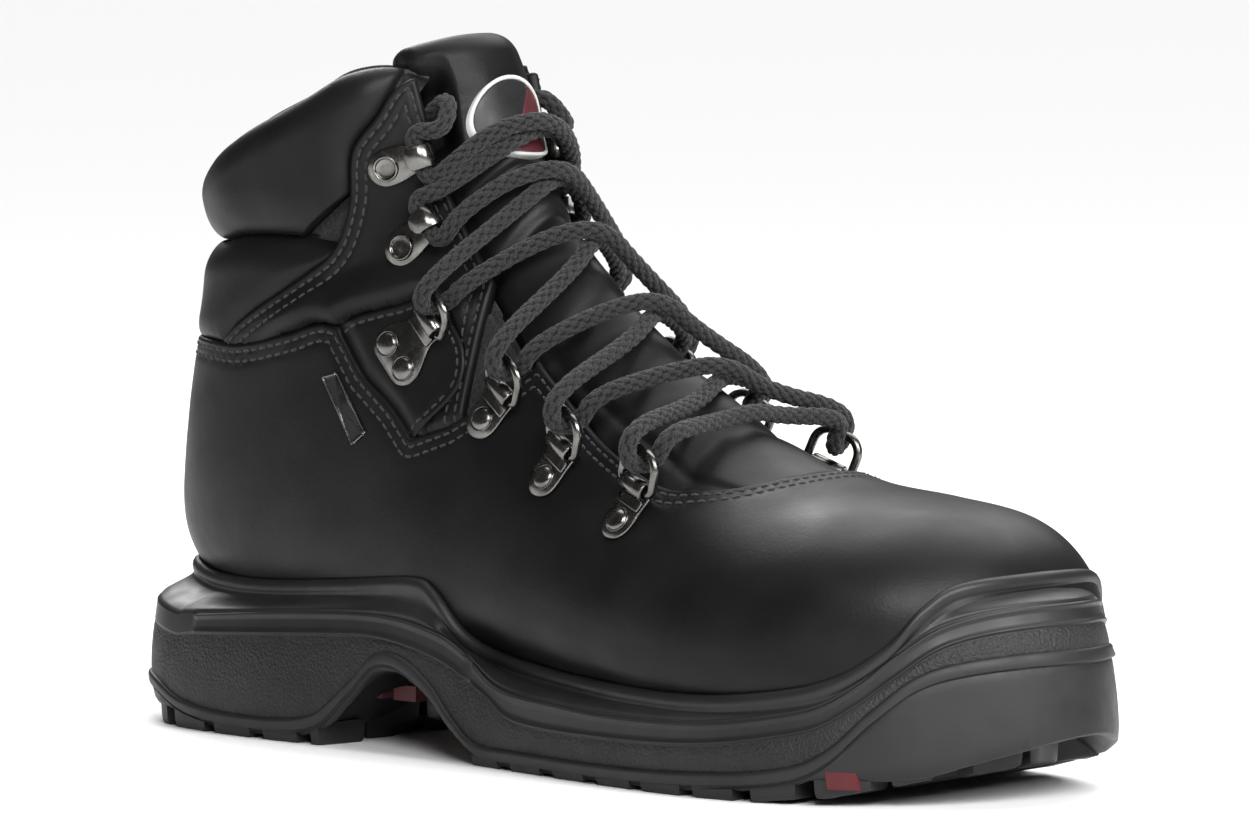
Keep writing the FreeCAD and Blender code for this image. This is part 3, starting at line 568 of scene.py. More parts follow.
def stage_set():
    camera_data = bpy.data.cameras.new("camera")
    camera_data.sensor_width = SENSOR_WIDTH
    camera_data.lens = LENS
    camera_data.shift_x = SHIFT_X
    camera_data.clip_end = CLIP_END
    camera = bpy.data.objects.new("camera", camera_data)
    back = Vector((math.sin(AZIMUTH) * math.cos(ELEVATION), -math.cos(AZIMUTH) * math.cos(ELEVATION),
                   math.sin(ELEVATION)))
    camera.location = TARGET + back * DISTANCE
    camera.rotation_euler = back.to_track_quat("Z", "Y").to_euler()
    bpy.context.scene.collection.objects.link(camera)
    bpy.context.scene.camera = camera

    floor = bpy.data.materials.new("floor")
    floor.use_nodes = True
    base = floor.node_tree.nodes["Principled BSDF"]
    base.inputs["Base Color"].default_value = FLOOR_COLOUR
    base.inputs["Roughness"].default_value = FLOOR_ROUGHNESS
    base.inputs["Specular IOR Level"].default_value = FLOOR_SPECULAR
    size = FLOOR_HALF
    corners = [(-size, -size, 0), (size, -size, 0), (size, size, 0), (-size, size, 0)]
    plane = new_object("floor", corners, [(0, 1, 2, 3)], [floor], smooth=False)

    world = bpy.data.worlds.new("world")
    world.use_nodes = True
    background = world.node_tree.nodes["Background"]
    background.inputs["Color"].default_value = (1, 1, 1, 1)
    background.inputs["Strength"].default_value = WORLD_STRENGTH
    bpy.context.scene.world = world

    sun = bpy.data.lights.new("overhead", "SUN")
    sun.energy, sun.angle = SUN_STRENGTH, math.radians(SUN_ANGLE)
    lamp = bpy.data.objects.new("overhead", sun)
    lamp.rotation_euler = Vector(SUN_FROM).to_track_quat("Z", "Y").to_euler()
    bpy.context.scene.collection.objects.link(lamp)

    for name, spot, side, power in LAMPS:
        data = bpy.data.lights.new(name, "AREA")
        data.shape = "SQUARE"
        data.size = side
        data.energy = power
        lamp = bpy.data.objects.new(name, data)
        lamp.location = spot
        aim = Vector(spot) - Vector(LAMP_AIM)
        lamp.rotation_euler = aim.to_track_quat("Z", "Y").to_euler()
        bpy.context.scene.collection.objects.link(lamp)
    bpy.context.scene.view_settings.view_transform = "Standard"


stage_set()


# ------------------------------------------------------------------ the sole
def closed_curve(points, count):
    """Evenly spaced points of a smooth closed curve, with a smooth spline in chord length."""
    points = np.asarray(points, float)
    n = len(points)
    gaps = np.linalg.norm(np.roll(points, -1, 0) - points, axis=1)
    before = np.roll(gaps, 1)
    system = np.zeros((n, n))
    right = np.zeros((n, 2))
    for i in range(n):
        system[i, (i - 1) % n] += before[i]
        system[i, i] += 2 * (before[i] + gaps[i])
        system[i, (i + 1) % n] += gaps[i]
        right[i] = 6 * ((points[(i + 1) % n] - points[i]) / gaps[i] - (points[i] - points[i - 1]) / before[i])
    bend = np.linalg.solve(system, right)
    knots = np.concatenate([[0], np.cumsum(gaps)])
    fine = np.linspace(0, knots[-1], 8001)[:-1]
    i = np.searchsorted(knots, fine, side="right") - 1
    h, j = gaps[i][:, None], (i + 1) % n
    a, b = ((knots[i + 1] - fine) / gaps[i])[:, None], ((fine - knots[i]) / gaps[i])[:, None]
    curve = a * points[i] + b * points[j] + ((a ** 3 - a) * bend[i] + (b ** 3 - b) * bend[j]) * h ** 2 / 6
    step = np.linalg.norm(np.roll(curve, -1, 0) - curve, axis=1)
    reach = np.concatenate([[0], np.cumsum(step)])
    closed = np.vstack([curve, curve[:1]])
    even = np.linspace(0, reach[-1], count + 1)[:-1]
    return np.stack([np.interp(even, reach, closed[:, k]) for k in range(2)], 1)


SOLE_COUNT = 720
PLAN = closed_curve(SOLE_LATERAL + SOLE_MEDIAL, SOLE_COUNT)
PLAN_IN = np.roll(PLAN, -1, 0) - np.roll(PLAN, 1, 0)
PLAN_IN = np.stack([-PLAN_IN[:, 1], PLAN_IN[:, 0]], 1) / np.linalg.norm(PLAN_IN, axis=1)[:, None]


def cad_inset(z):
    return np.interp(z, *smooth_curve(SOLE_LEVELS).T)


def ring_at(z, inset):
    """Ring of sole points at heights z, moved in from the plan."""
    z, inset = np.broadcast_to(z, SOLE_COUNT), np.broadcast_to(inset, SOLE_COUNT)
    return np.column_stack([PLAN + PLAN_IN * inset[:, None], z])


def upper_inset(z):
    """How far in from the plan the upper stands at heights z."""
    t, a = np.meshgrid(np.linspace(0.4, 14, 300), np.linspace(0, 1, 241), indexing="ij")
    skin = surface(t, a).reshape(-1, 3)
    tree = BVHTree.FromPolygons(skin.tolist(), grid_quads(*t.shape).tolist())
    found = np.zeros(SOLE_COUNT)
    for k in range(SOLE_COUNT):
        start = Vector((*(PLAN[k] - PLAN_IN[k] * 20), z[k]))
        hit = tree.ray_cast(start, Vector((*PLAN_IN[k], 0)), 80)
        found[k] = hit[3] - 20 if hit[3] is not None else 12
    window = np.hanning(15)
    wrapped = np.concatenate([found[-7:], found, found[:7]])
    return np.convolve(wrapped, window / window.sum(), "valid")


STRIPE_TOP = [(-20, 37), (20, 30.5), (29, 31), (66, 34.3), (101, 35.9), (123, 33.5), (136, 29.5), (152, 21.2),
              (177, 19), (199, 18.2), (229, 19), (250, 22), (261, 25), (270, 31), (277, 37.5), (287, 45),
              (300, 49),
              (315, 50)]
STRIPE_BOTTOM = [(-20, 33), (20, 26), (33, 26.5), (84, 29.8), (104, 30.2), (128, 26.2), (147, 19),
                 (161, 13.2),
                 (199, 12.6), (229, 13.9), (250, 17.0), (261, 20), (270, 26), (277, 32), (287, 40), (300, 44),
                 (315, 45)]
HEEL_STRIPE, FOOT_STRIPE = (33, 138), (141, 400)
# Section of the midsole's rolled top: down from its top line, out from the upper
ROLLED_EDGE = ((6.0, -3.0), (1.2, -1.0), (0.45, -0.1), (0.05, 0.7), (0.1, 1.4), (0.6, 2.15), (1.4, 2.65),
               (2.4, 2.8), (3.3, 2.6), (4.0, 2.3))
# Edges of the raised stripe: up from its line, out from the wall
STRIPE_UPPER_EDGE = ((0.2, -0.35), (0.0, 0.75), (-0.3, 0.95), (-0.7, 0.85), (-1.0, 0.5))
STRIPE_LOWER_EDGE = ((0.9, 0.5), (0.6, 0.8), (0.3, 0.95), (0.0, 0.7))
# Section of the outsole's lip: up from its top or bottom line, inset
LIP_TOP = ((-1.0, 6), (0.0, 0.6), (0.05, -0.2), (-0.4, -0.75), (-1.2, -0.9))
LIP_BOTTOM = ((0.7, -0.9), (0.2, -0.75), (0.0, -0.1), (-0.35, 0.1), (-0.8, -0.1))
SOLE_X = PLAN[:, 0]
SOLE_TOP, SOLE_LOW = line_height(MIDSOLE_TOP, SOLE_X), line_height(OUTSOLE_TOP, SOLE_X)
SOLE_FLOOR = np.interp(SOLE_X, *np.array(OUTSOLE_BOTTOM).T)


def loft(rings, kinds):
    """Faces between closed rings of points, with the last ring joined to the first, and their materials."""
    faces = walls(len(rings), SOLE_COUNT, closed=True, flip=True)
    return np.vstack(rings), faces, np.repeat(kinds, SOLE_COUNT).tolist()


def midsole():
    """Moulded wall: a rolled top edge, a plain band, a raised stripe and a pebbled lower part."""
    top, low = SOLE_TOP, SOLE_LOW
    st, sb = line_height(STRIPE_TOP, SOLE_X), line_height(STRIPE_BOTTOM, SOLE_X)
    hug = upper_inset(top)
    rings, kinds = [], []

    def add(z, inset, kind=0):
        rings.append(ring_at(z, inset))
        kinds.append(kind)

    def add_wall(z, out=0.0, kind=0):
        add(z, cad_inset(z) - out, kind)

    for down, away in ROLLED_EDGE:
        add(top - down, hug - away)
    neck = top - 4.0
    neck_inset = hug - 2.3
    foot_inset = cad_inset(st + 0.6)
    for share in (0.2, 0.4, 0.6, 0.8):
        z = neck + (st + 0.6 - neck) * share
        add(z, neck_inset + (foot_inset - neck_inset) * ease(share) + 0.35 * math.sin(share * math.pi))
    on = np.zeros(SOLE_COUNT)
    for start, end in (HEEL_STRIPE, FOOT_STRIPE):
        on = np.maximum(on, ease(np.minimum(SOLE_X - start, end - SOLE_X) / 1.2 + 0.5))
    add_wall(st + 0.5, 0.05)
    for up, out in STRIPE_UPPER_EDGE:
        add_wall(st + up, out * on)
    for share in (0.35, 0.65):
        add_wall(st + (sb - st) * share, 0.45 * on)
    for up, out in STRIPE_LOWER_EDGE:
        add_wall(sb + up, out * on)
    add_wall(sb - 0.15, -0.1)
    add_wall(sb - 0.6, -0.15, 1)
    for share in (0.12, 0.24, 0.36, 0.48, 0.6, 0.72, 0.84, 0.93):
        add_wall(sb - 0.6 + (low + 0.3 - sb + 0.6) * share, 0.1 * math.sin(share * math.pi), 1)
    add_wall(low + 0.3, 0.0, 1)
    add_wall(low - 2.0, -0.3, 1)
    add(low - 2.0, cad_inset(low) + 7.0)
    points, faces, indices = loft(rings, kinds)
    piece = new_object("midsole_shell", place(points), faces, [PU_SMOOTH, PU_PEBBLE], indices)
    settle(piece, "midsole_pu", stands_for=["midsole"])


LUG_DEPTH = 4.5
LIP = 3.4


def plan_index(x, lateral):
    """Index of the plan point at x on one side."""
    side = PLAN[:, 1] < 0 if lateral else PLAN[:, 1] > 0
    return int(np.argmin(np.where(side, np.abs(SOLE_X - x), 1e9)))


def block(footprint, top, floor, bevel=0.9):
    """A tread block: an outline of (x, y), from a height down to the ground with bevelled lower edges."""
    ring = np.asarray(footprint, float)
    centre = ring.mean(0)
    inward = centre - ring
    inward /= np.maximum(np.linalg.norm(inward, axis=1, keepdims=True), 1e-6)
    count = len(ring)
    levels = ((top, 0.0), (floor + 2.2, 0.25), (floor + bevel, 0.5),
              (floor + 0.25 * bevel, 0.5 + 0.4 * bevel),
              (floor, 0.5 + bevel))
    points = [np.column_stack([ring + inward * move, np.broadcast_to(z, count)]) for z, move in levels]
    return np.vstack(points), walls(len(levels), count) + ends(len(levels), count)


def merge(parts):
    """Join lists of points and faces."""
    points, faces, start = [], [], 0
    for part_points, part_faces in parts:
        points.append(part_points)
        faces += [tuple(i + start for i in f) for f in part_faces]
        start += len(part_points)
    return np.vstack(points), faces


LUG_GROOVE = 4.5
LUG_PLACES = [19, 38, 57, 75] + [152 + 17.5 * k for k in range(8)]
LUG_ENDS = ((12, 80), (139, 284))


def lug_rows():
    """Ranges of x that the tread blocks cover, between the grooves."""
    rows = []
    for start, end in LUG_ENDS:
        cuts = [x for x in LUG_PLACES if start < x < end]
        edges = [start - LUG_GROOVE / 2] + cuts + [end + LUG_GROOVE / 2]
        rows += [(a + LUG_GROOVE / 2, b - LUG_GROOVE / 2) for a, b in zip(edges, edges[1:])]
    return rows


def floor_at(x):
    return np.interp(x, *np.array(OUTSOLE_BOTTOM).T)


def side_lugs(lateral):
    """Blocks along one edge of the sole."""
    made = []
    for start, end in lug_rows():
        i, j = sorted((plan_index(start, lateral), plan_index(end, lateral)))
        edge = np.arange(i, j + 1)
        outer = PLAN[edge] + PLAN_IN[edge] * cad_inset(4.0)
        depth = 17.0
        lean = 2.5 if lateral else -2.5
        inner = PLAN[edge[::-1]] + PLAN_IN[edge[::-1]] * depth
        inner[:, 0] += lean
        ring = np.vstack([outer, inner])
        floor = floor_at(np.clip(ring[:, 0], start, end))
        made.append(block(ring, floor + LUG_DEPTH + 1.5, floor))
    return made


def centre_lugs():
    """Chevron blocks down the middle of the tread."""
    made = []
    for start, end in lug_rows():
        middle = (start + end) / 2
        lateral, medial = PLAN[plan_index(middle, True)], PLAN[plan_index(middle, False)]
        low, high = lateral[1] + 21, medial[1] - 21
        if high - low < 12:
            continue
        centre = (low + high) / 2
        point, half = 3.5, (end - start) / 2 - 0.4
        for y0, y1 in ((low, centre - 1.4), (centre + 1.4, high)):
            near, far = (y1, y0) if y1 < centre else (y0, y1)
            ring = [(middle - half, far), (middle + half, far), (middle + half + point, near),
                    (middle - half + point, near)]
            if y1 > centre:
                ring = ring[::-1]
            fine = []
            for p, q in zip(ring, ring[1:] + ring[:1]):
                for share in (0.08, 0.3, 0.5, 0.7, 0.92):
                    fine.append((p[0] + (q[0] - p[0]) * share, p[1] + (q[1] - p[1]) * share))
            ring = np.array(fine)
            floor = floor_at(ring[:, 0])
            made.append(block(ring, floor + LUG_DEPTH + 1.5, floor + 0.1, 0.7))
    return made


def outsole():
    """Rubber cup with a lip, and separate tread blocks under it."""
    low = SOLE_LOW
    rings = []

    def add(z, inset):
        rings.append(ring_at(z, inset))

    for up, inset in LIP_TOP:
        add(low + up, cad_inset(low) + inset)
    lip_low = low - LIP
    for up, inset in LIP_BOTTOM:
        add(lip_low + up, cad_inset(lip_low) + inset)
    base = SOLE_FLOOR + LUG_DEPTH
    bumper = ease((SOLE_X - 258) / 25) + ease((6 - SOLE_X) / 8)
    base = base - (LUG_DEPTH - 0.5) * np.clip(bumper, 0, 1)
    last = lip_low - 0.8
    base = np.minimum(base, last - 0.8)
    for share in (0.1, 0.22, 0.35, 0.48, 0.61, 0.74, 0.86):
        z = last + (base + 1.6 - last) * share
        add(z, cad_inset(z))
    add(base + 0.8, cad_inset(base) + 0.2)
    add(base + 0.2, cad_inset(base) + 0.9)
    add(base, cad_inset(base) + 2.2)
    for depth in (8, 14, 20, 26):
        add(np.maximum(base, np.minimum(SOLE_FLOOR + LUG_DEPTH, base + depth)), depth)
    points, faces, _ = loft(rings, [0] * len(rings))
    count = SOLE_COUNT
    faces = faces[:-count]
    last_ring = (len(rings) - 1) * count
    faces += strip_between(last_ring)
    made = merge([(points, faces)] + side_lugs(True) + side_lugs(False) + centre_lugs())
    piece = new_object("outsole_tread", place(made[0]), made[1], [RUBBER])
    piece.modifiers.new("edges", "EDGE_SPLIT").split_angle = math.radians(48)
    settle(piece, "outsole_rubber", stands_for=["outsole"])


def strip_between(start):
    """Faces that close a ring of the sole from its outer to its inner side."""
    heel, toe = int(np.argmin(SOLE_X)), int(np.argmax(SOLE_X))
    count = SOLE_COUNT
    outer = [(heel + k) % count for k in range((toe - heel) % count + 1)]
    inner = [(heel - k) % count for k in range((heel - toe) % count + 1)]
    faces = []
    steps = max(len(outer), len(inner))
    for k in range(steps - 1):
        a = [outer[min(k + s, len(outer) - 1)] for s in (0, 1)]
        b = [inner[min(k + s, len(inner) - 1)] for s in (0, 1)]
        face = []
        for i in (a[0], b[0], b[1], a[1]):
            if start + i not in face:
                face.append(start + i)
        if len(face) > 2:
            faces.append(tuple(face))
    return faces


midsole()
outsole()


# ------------------------------------------------------------------ stitches
def stitches(points, outward, length=2.5, gap=0.55, radius=0.36):
    """Raised thread stitches along a line of points."""
    step = np.linalg.norm(np.diff(points, axis=0), axis=1)
    reach = np.concatenate([[0], np.cumsum(step)])
    parts = []
    count = int(reach[-1] // (length + gap))
    shares = np.array([0, 0.12, 0.35, 0.65, 0.88, 1.0])
    swell = np.array([0.25, 0.8, 1.0, 1.0, 0.8, 0.25])
    rise = np.array([-0.35, 0.0, 0.16, 0.16, 0.0, -0.35])
    sides = 6
    for k in range(count):
        at = k * (length + gap) + gap / 2 + shares * length
        p = np.stack([np.interp(at, reach, points[:, c]) for c in range(3)], 1)
        n = np.stack([np.interp(at, reach, outward[:, c]) for c in range(3)], 1)
        n /= np.linalg.norm(n, axis=1, keepdims=True)
        along = p[-1] - p[0]
        along /= max(np.linalg.norm(along), 1e-9)
        side = np.cross(n, along)
        side /= np.maximum(np.linalg.norm(side, axis=1, keepdims=True), 1e-9)
        rings = []
        for s in range(sides):
            angle = 2 * math.pi * s / sides
            rings.append(p + n * (rise + radius * swell * math.sin(angle))[:, None]
                         + side * (radius * swell * math.cos(angle))[:, None])
        rings = np.stack(rings, 1).reshape(-1, 3)
        parts.append((rings, walls(len(shares), sides) + ends(len(shares), sides)))
    return parts


def sew(name, patch, rows, outer, outward):
    """One piece of thread for a panel's kept rows."""
    parts = []
    for row in rows:
        for chain in patch.line(row):
            parts += stitches(outer[chain], outward[chain])
    if parts:
        points, faces = merge(parts)
        settle(new_object(name, place(points), faces, [THREAD]), "lace_cord")


def pinch(distance, places=(2.3, 4.9)):
    """Small grooves where the rows of stitches pull the leather in."""
    return -sum(0.28 * np.exp(-((distance - p) / 0.65) ** 2) for p in places)


# ------------------------------------------------------------------ leather panels
EDGE_ROWS = (0.12, 0.4, 0.85, 1.4)
SEAM_ROWS = {"first": 2.3, "second": 4.9}
PATCH_SEAM = 2.2


def roll_edge(distance, thick, radius=1.3):
    """Height of a rolled panel edge at a distance from its outline."""
    return thick * quarter_round(distance / radius)


def pad_profile(distance, low, high, reach):
    """Height of a stuffed surface at a distance from its seam."""
    return low + (high - low) * quarter_round(distance / reach)


def cut_rows(patch, edge, seams):
    """Rows of points along an edge: close ones for its rolled edge and kept ones for its stitches."""
    for level in EDGE_ROWS:
        patch.cut(edge, level)
    for row, level in seams.items():
        patch.cut(edge, level, row=row)


WAVES = 7


def soft_waves(par, size, seed):
    """Gentle unevenness of soft leather, in -1..1, from a few crossed waves."""
    rng = np.random.default_rng(seed)
    p = surface(par[:, 0], par[:, 1])
    total = np.zeros(len(par))
    for _ in range(WAVES):
        direction = rng.normal(size=3)
        direction /= np.linalg.norm(direction)
        length = size * rng.uniform(0.6, 1.8)
        total += np.sin(p @ direction * 2 * math.pi / length + rng.uniform(0, 6.28)) * rng.uniform(0.4, 1.0)
    return total / 3.5


def minus(field, offset=0.0):
    return lambda par: offset - field(par)


def near(*fields):
    """Distance to the nearest of several outlines, inside all of them."""
    return lambda par: np.min([f(par) for f in fields], 0)


body_line = minus(body_side)
hook_side = minus(back_side)


def rounded(first, second, radius):
    """Distance inside two outlines whose common corner is rounded."""
    def field(par):
        a, b = first(par), second(par)
        x, y = np.maximum(radius - a, 0), np.maximum(radius - b, 0)
        return np.where((x > 0) & (y > 0), radius - np.hypot(x, y), np.minimum(a, b))
    return field


panel_top = rounded(hook_side, below_rim, 9.0)


def front_line(par):
    """Distance above the body and the ankle patch together."""
    return -np.maximum(body_side(par), patch_side(par))


def body():
    patch = Patch((0.8, 14.3), 235, (0.0, 1.0), 270)
    edge = near(body_side, facing_side)
    patch.cut(above_sole, -9.0, drop=True)
    patch.cut(body_side, 0.0, drop=True)
    patch.cut(facing_side, 0.0, drop=True)
    cut_rows(patch, edge, SEAM_ROWS)
    t, a = patch.par.T
    d = patch.values(edge)
    base, n = surface(t, a), normals(t, a)
    height = roll_edge(d, 1.5) - 1.0 + pinch(d) + 0.15 * soft_waves(patch.par, 26, 1) * ease(d / 9)
    outer = base + n * height[:, None]
    settle(closed_sheet("vamp_panel", patch, outer, base - n * 1.6, LEATHER_SMOOTH), "leather",
           stands_for=["vamp_and_quarters"])
    sew("vamp_stitching", patch, SEAM_ROWS, outer, n)


def hook_panels():
    """Facings with the hooks; their lower part is soft and hangs over the seam of the body."""
    for a_range, word in (((0.02, 0.5), "lateral"), ((0.5, 0.98), "medial")):
        patch = Patch((7.6, 16.6), 190, a_range, 150)
        patch.cut(front_line, -6.0, drop=True)
        patch.cut(panel_top, 0.0, drop=True)
        patch.cut(facing_side, 0.0, drop=True)
        edge = near(panel_top, facing_side)
        cut_rows(patch, edge, SEAM_ROWS)
        t, a = patch.par.T
        d, seam = patch.values(edge), front_line(patch.par)
        base, n = surface(t, a), normals(t, a)
        x = base[:, 0]
        soft = ease((x - 48) / 22) * ease((128 - x) / 22)
        fold = np.where(seam > 0, pad_profile(seam, -1.6, 3.2, 5.0) * (1 - ease((seam - 4) / 9)), -1.6)
        height = roll_edge(d, 1.6) - 1.1 + pinch(d) + fold * soft * ease(d / 7)
        height += np.where(seam < 0, -0.9, 0.0) + 0.3 * soft_waves(patch.par, 22, 2) * ease(d / 9)
        outer = base + n * height[:, None]
        inner = base - n * 3.2
        settle(closed_sheet("hook_panel_" + word + "_leather", patch, outer, inner, LEATHER_SOFT), "leather",
               stands_for=["hook_panel_" + word])
        sew("hook_panel_" + word + "_stitching", patch, SEAM_ROWS, outer, n)


def ankle_patches():
    for a_range, word in (((0.2, 0.5), "lateral"), ((0.5, 0.8), "medial")):
        patch = Patch((7.9, 11.6), 100, a_range, 90)
        patch.cut(patch_side, 0.0, drop=True)
        cut_rows(patch, patch_side, {"first": PATCH_SEAM})
        t, a = patch.par.T
        d = patch.values(patch_side)
        base, n = surface(t, a), normals(t, a)
        away = -body_side(patch.par)
        height = roll_edge(d, 1.5, 1.1) - 0.85 + pinch(d, (PATCH_SEAM,))
        height = np.minimum(height, -0.9 + 1.5 * ease(away / 4.5))
        outer = base + n * height[:, None]
        settle(closed_sheet("ankle_patch_" + word + "_leather", patch, outer, base - n * 1.0, LEATHER_SMOOTH),
               "leather", stands_for=["ankle_patch_" + word])
        sew("ankle_patch_" + word + "_stitching", patch, ("first",), outer, n)


def collar():
    """Fat padded roll round the top; its leather turns in over the edge."""
    patch = Patch((12.4, 16.9), 110, (-0.42, 0.42), 300)
    patch.cut(above_crease, -0.5, drop=True)
    patch.cut(back_side, -7.0, drop=True)
    patch.cut(below_rim, -1.0, drop=True)
    for level in (-0.8, -0.3, 0.4, 1.4, 3.0):
        patch.cut(below_rim, level)
    for level in (0.0, 0.6, 1.6):
        patch.cut(above_crease, level)
    t, a = patch.par.T
    crease, strip, rim = above_crease(patch.par), back_side(patch.par), below_rim(patch.par) + 1.0
    base, n = surface(t, a), normals(t, a)
    pad = np.minimum(pad_profile(crease, -5.0, 2.2, 13.0), pad_profile(strip, -2.6, 2.2, 9.0))
    turn = -5.0 * (1 - quarter_round(rim / 9.0))
    height = pad + turn * 1.2 + 0.5 * soft_waves(patch.par, 24, 3) * ease(crease / 8)
    height = np.maximum(height, -5.6)
    inner = -8.8 + 2.6 * (1 - quarter_round(rim / 5.0))
    outer = base + n * height[:, None]
    piece = closed_sheet("collar_roll", patch, outer, base + n * inner[:, None], LEATHER_SOFT, weld=False)
    settle(piece, "leather", stands_for=["collar_cover", "collar_foam"])


def heel_flex():
    """Padded section under the collar's crease."""
    patch = Patch((11.0, 15.0), 100, (-0.40, 0.40), 260)
    crease_down = minus(above_crease)
    patch.cut(crease_down, -0.8, drop=True)
    patch.cut(body_line, -5.0, drop=True)
    patch.cut(back_side, -4.0, drop=True)
    for level in (0.0, 0.7, 1.6):
        patch.cut(crease_down, level)
        patch.cut(body_line, level)
    t, a = patch.par.T
    crease, seam, strip = crease_down(patch.par), body_line(patch.par), back_side(patch.par)
    base, n = surface(t, a), normals(t, a)
    pad = np.minimum(pad_profile(crease, -5.0, 1.0, 10.0), pad_profile(seam, -1.0, 1.0, 6.0))
    height = np.minimum(pad, pad_profile(strip + 1, -2.0, 1.0, 6.0))
    height = np.where((seam < 0) | (strip < 0), np.minimum(height, -1.0), height)
    height += 0.35 * soft_waves(patch.par, 20, 4) * ease(crease / 6)
    outer = base + n * height[:, None]
    piece = closed_sheet("heel_flex_pad", patch, outer, base - n * 8.6, LEATHER_SOFT, weld=False)
    settle(piece, "leather", stands_for=["heel_flex_panel", "heel_flex_foam"])


def lining():
    """Knitted lining of the whole inside, with a rounded edge just above the collar roll."""
    patch = Patch((0.9, 16.9), 190, (0.0, 1.0), 150)
    patch.cut(below_rim, -3.6, drop=True)
    patch.cut(facing_side, 1.5, drop=True)
    for level in (-3.3, -2.6, -1.5, 0.0):
        patch.cut(below_rim, level)
    t, a = patch.par.T
    rim = below_rim(patch.par) + 3.6
    share = quarter_round(rim / 1.4)
    outside, inside = surface(t, a, 4.7), surface(t, a, 6.0)
    middle = (outside + inside) / 2
    outer = middle + (outside - middle) * share[:, None]
    inner = middle + (inside - middle) * share[:, None]
    piece = closed_sheet("lining_knit", patch, outer, inner, KNIT)
    settle(piece, "lining_mesh", stands_for=["lining", "waterproof_bootie"])


body()
hook_panels()
ankle_patches()
collar()
heel_flex()
lining()


# ------------------------------------------------------------------ tongue
LACE_ROWS = (6.27, 7.20, 8.08, 9.28, 10.46, 11.95)
TONGUE_SPAN = (4.95, 15.2)
# Ring, half width to the outer side, half width to the inner side
TONGUE_HALF = np.array([(4.9, 20, 20), (5.2, 30, 28), (6, 37, 33), (7, 32, 30), (8, 28, 27), (9, 26, 26),
                        (10, 24.5, 24.5), (11.6, 25, 25), (13.4, 25, 24), (14.7, 27, 19), (15.45, 27, 17)])
BADGE_RINGS = (11.0, 13.3)


def surface_share(t, y, outer):
    """Share of the ring, between the widest point and the ridge, where it stands y out from the middle."""
    half = np.where(outer, catmull(STATIONS[:, 4], t), catmull(STATIONS[:, 5], t))
    power = catmull(STATIONS[:, 8], t)
    cosine = np.clip(y / half, 0, 0.98) ** (power / 2)
    return 0.25 + np.arccos(cosine) / (2 * math.pi)


def tongue_share(t, v):
    """Share of the ring at v, which runs from -1 at the tongue's outer edge to 1 at its inner one."""
    half = np.where(v < 0, np.interp(t, *TONGUE_HALF.T[[0, 1]]), np.interp(t, *TONGUE_HALF.T[[0, 2]]))
    return 0.5 + np.sign(v) * (0.5 - surface_share(t, half * np.abs(v), v < 0))


def tongue():
    """Stuffed tongue, drawn in under each crossing of the lace, with a knitted back."""
    start, last = TONGUE_SPAN
    t, v = np.meshgrid(np.linspace(start, last, 300), np.linspace(-1, 1, 90), indexing="ij")
    end = quarter_round((last - t) / 0.6)
    side = np.sqrt(np.maximum(0, 1 - np.abs(v) ** 6))
    free = ease((t - 11.6) / 1.5)
    swell = 2.2 + 1.0 * free
    dents = sum(np.exp(-((t - row + 0.06 - 0.1 * np.cos(3 * v)) / 0.13) ** 2) for row in LACE_ROWS)
    groove = np.exp(-((np.abs(v) - 0.74) / 0.04) ** 2) * (1 - free)
    ripple = 0.4 * soft_waves(np.stack([t.ravel(), v.ravel() * 0.1 + 0.5], 1), 17, 6).reshape(t.shape)
    share = tongue_share(t, v * (1 - 0.22 * (1 - end) ** 2))
    under = facing_side(np.stack([t.ravel(), share.ravel()], 1)).reshape(t.shape)
    front = 3.0 - swell * (1 - (np.abs(v) / 0.95) ** 2) + 1.3 * dents + 0.8 * groove - 0.5 * ripple
    front = np.maximum(front, 3.0 * ease((under + 3) / 3)) + 3.6 * ease(under / 5)
    flat = ease((t - BADGE_RINGS[0]) / 0.5) * ease((BADGE_RINGS[1] - t) / 0.5)
    front += flat * (0.15 - front)
    out = np.abs(surface(t, share)[..., 1] - 1)
    front += 8.0 * ease((out - 14.8) / 3.5) * ease((t - 11.3) / 0.7) * ease((14.9 - t) / 1.2)
    thick = 4.5 + 6.0 * free - 2.5 * ease(under / 5)
    middle = front + thick / 2
    half = thick / 2 * side * end
    base, n = surface(t, share), normals(t, share)
    top, back = base - n * (middle - half)[..., None], base - n * (middle + half)[..., None]
    rows, columns = t.shape
    index = np.arange(rows * columns).reshape(rows, columns)
    count = rows * columns
    faces, indices = [], []
    for q in grid_quads(rows, columns).tolist():
        faces += [tuple(q), tuple(k + count for k in reversed(q))]
        indices += [0, 1]
    edge = list(index[:, 0]) + list(index[-1, 1:]) + list(index[-2::-1, -1]) + list(index[0, -2:0:-1])
    for i, j in zip(edge, edge[1:] + edge[:1]):
        faces.append((int(j), int(i), int(i) + count, int(j) + count))
        indices.append(1)
    points = np.vstack([top.reshape(-1, 3), back.reshape(-1, 3)])
    piece = new_object("tongue_pad", place(points), faces, [LEATHER_SOFT, KNIT], indices)
    settle(piece, "leather", stands_for=["tongue_cover", "tongue_foam", "tongue_lining"])


tongue()


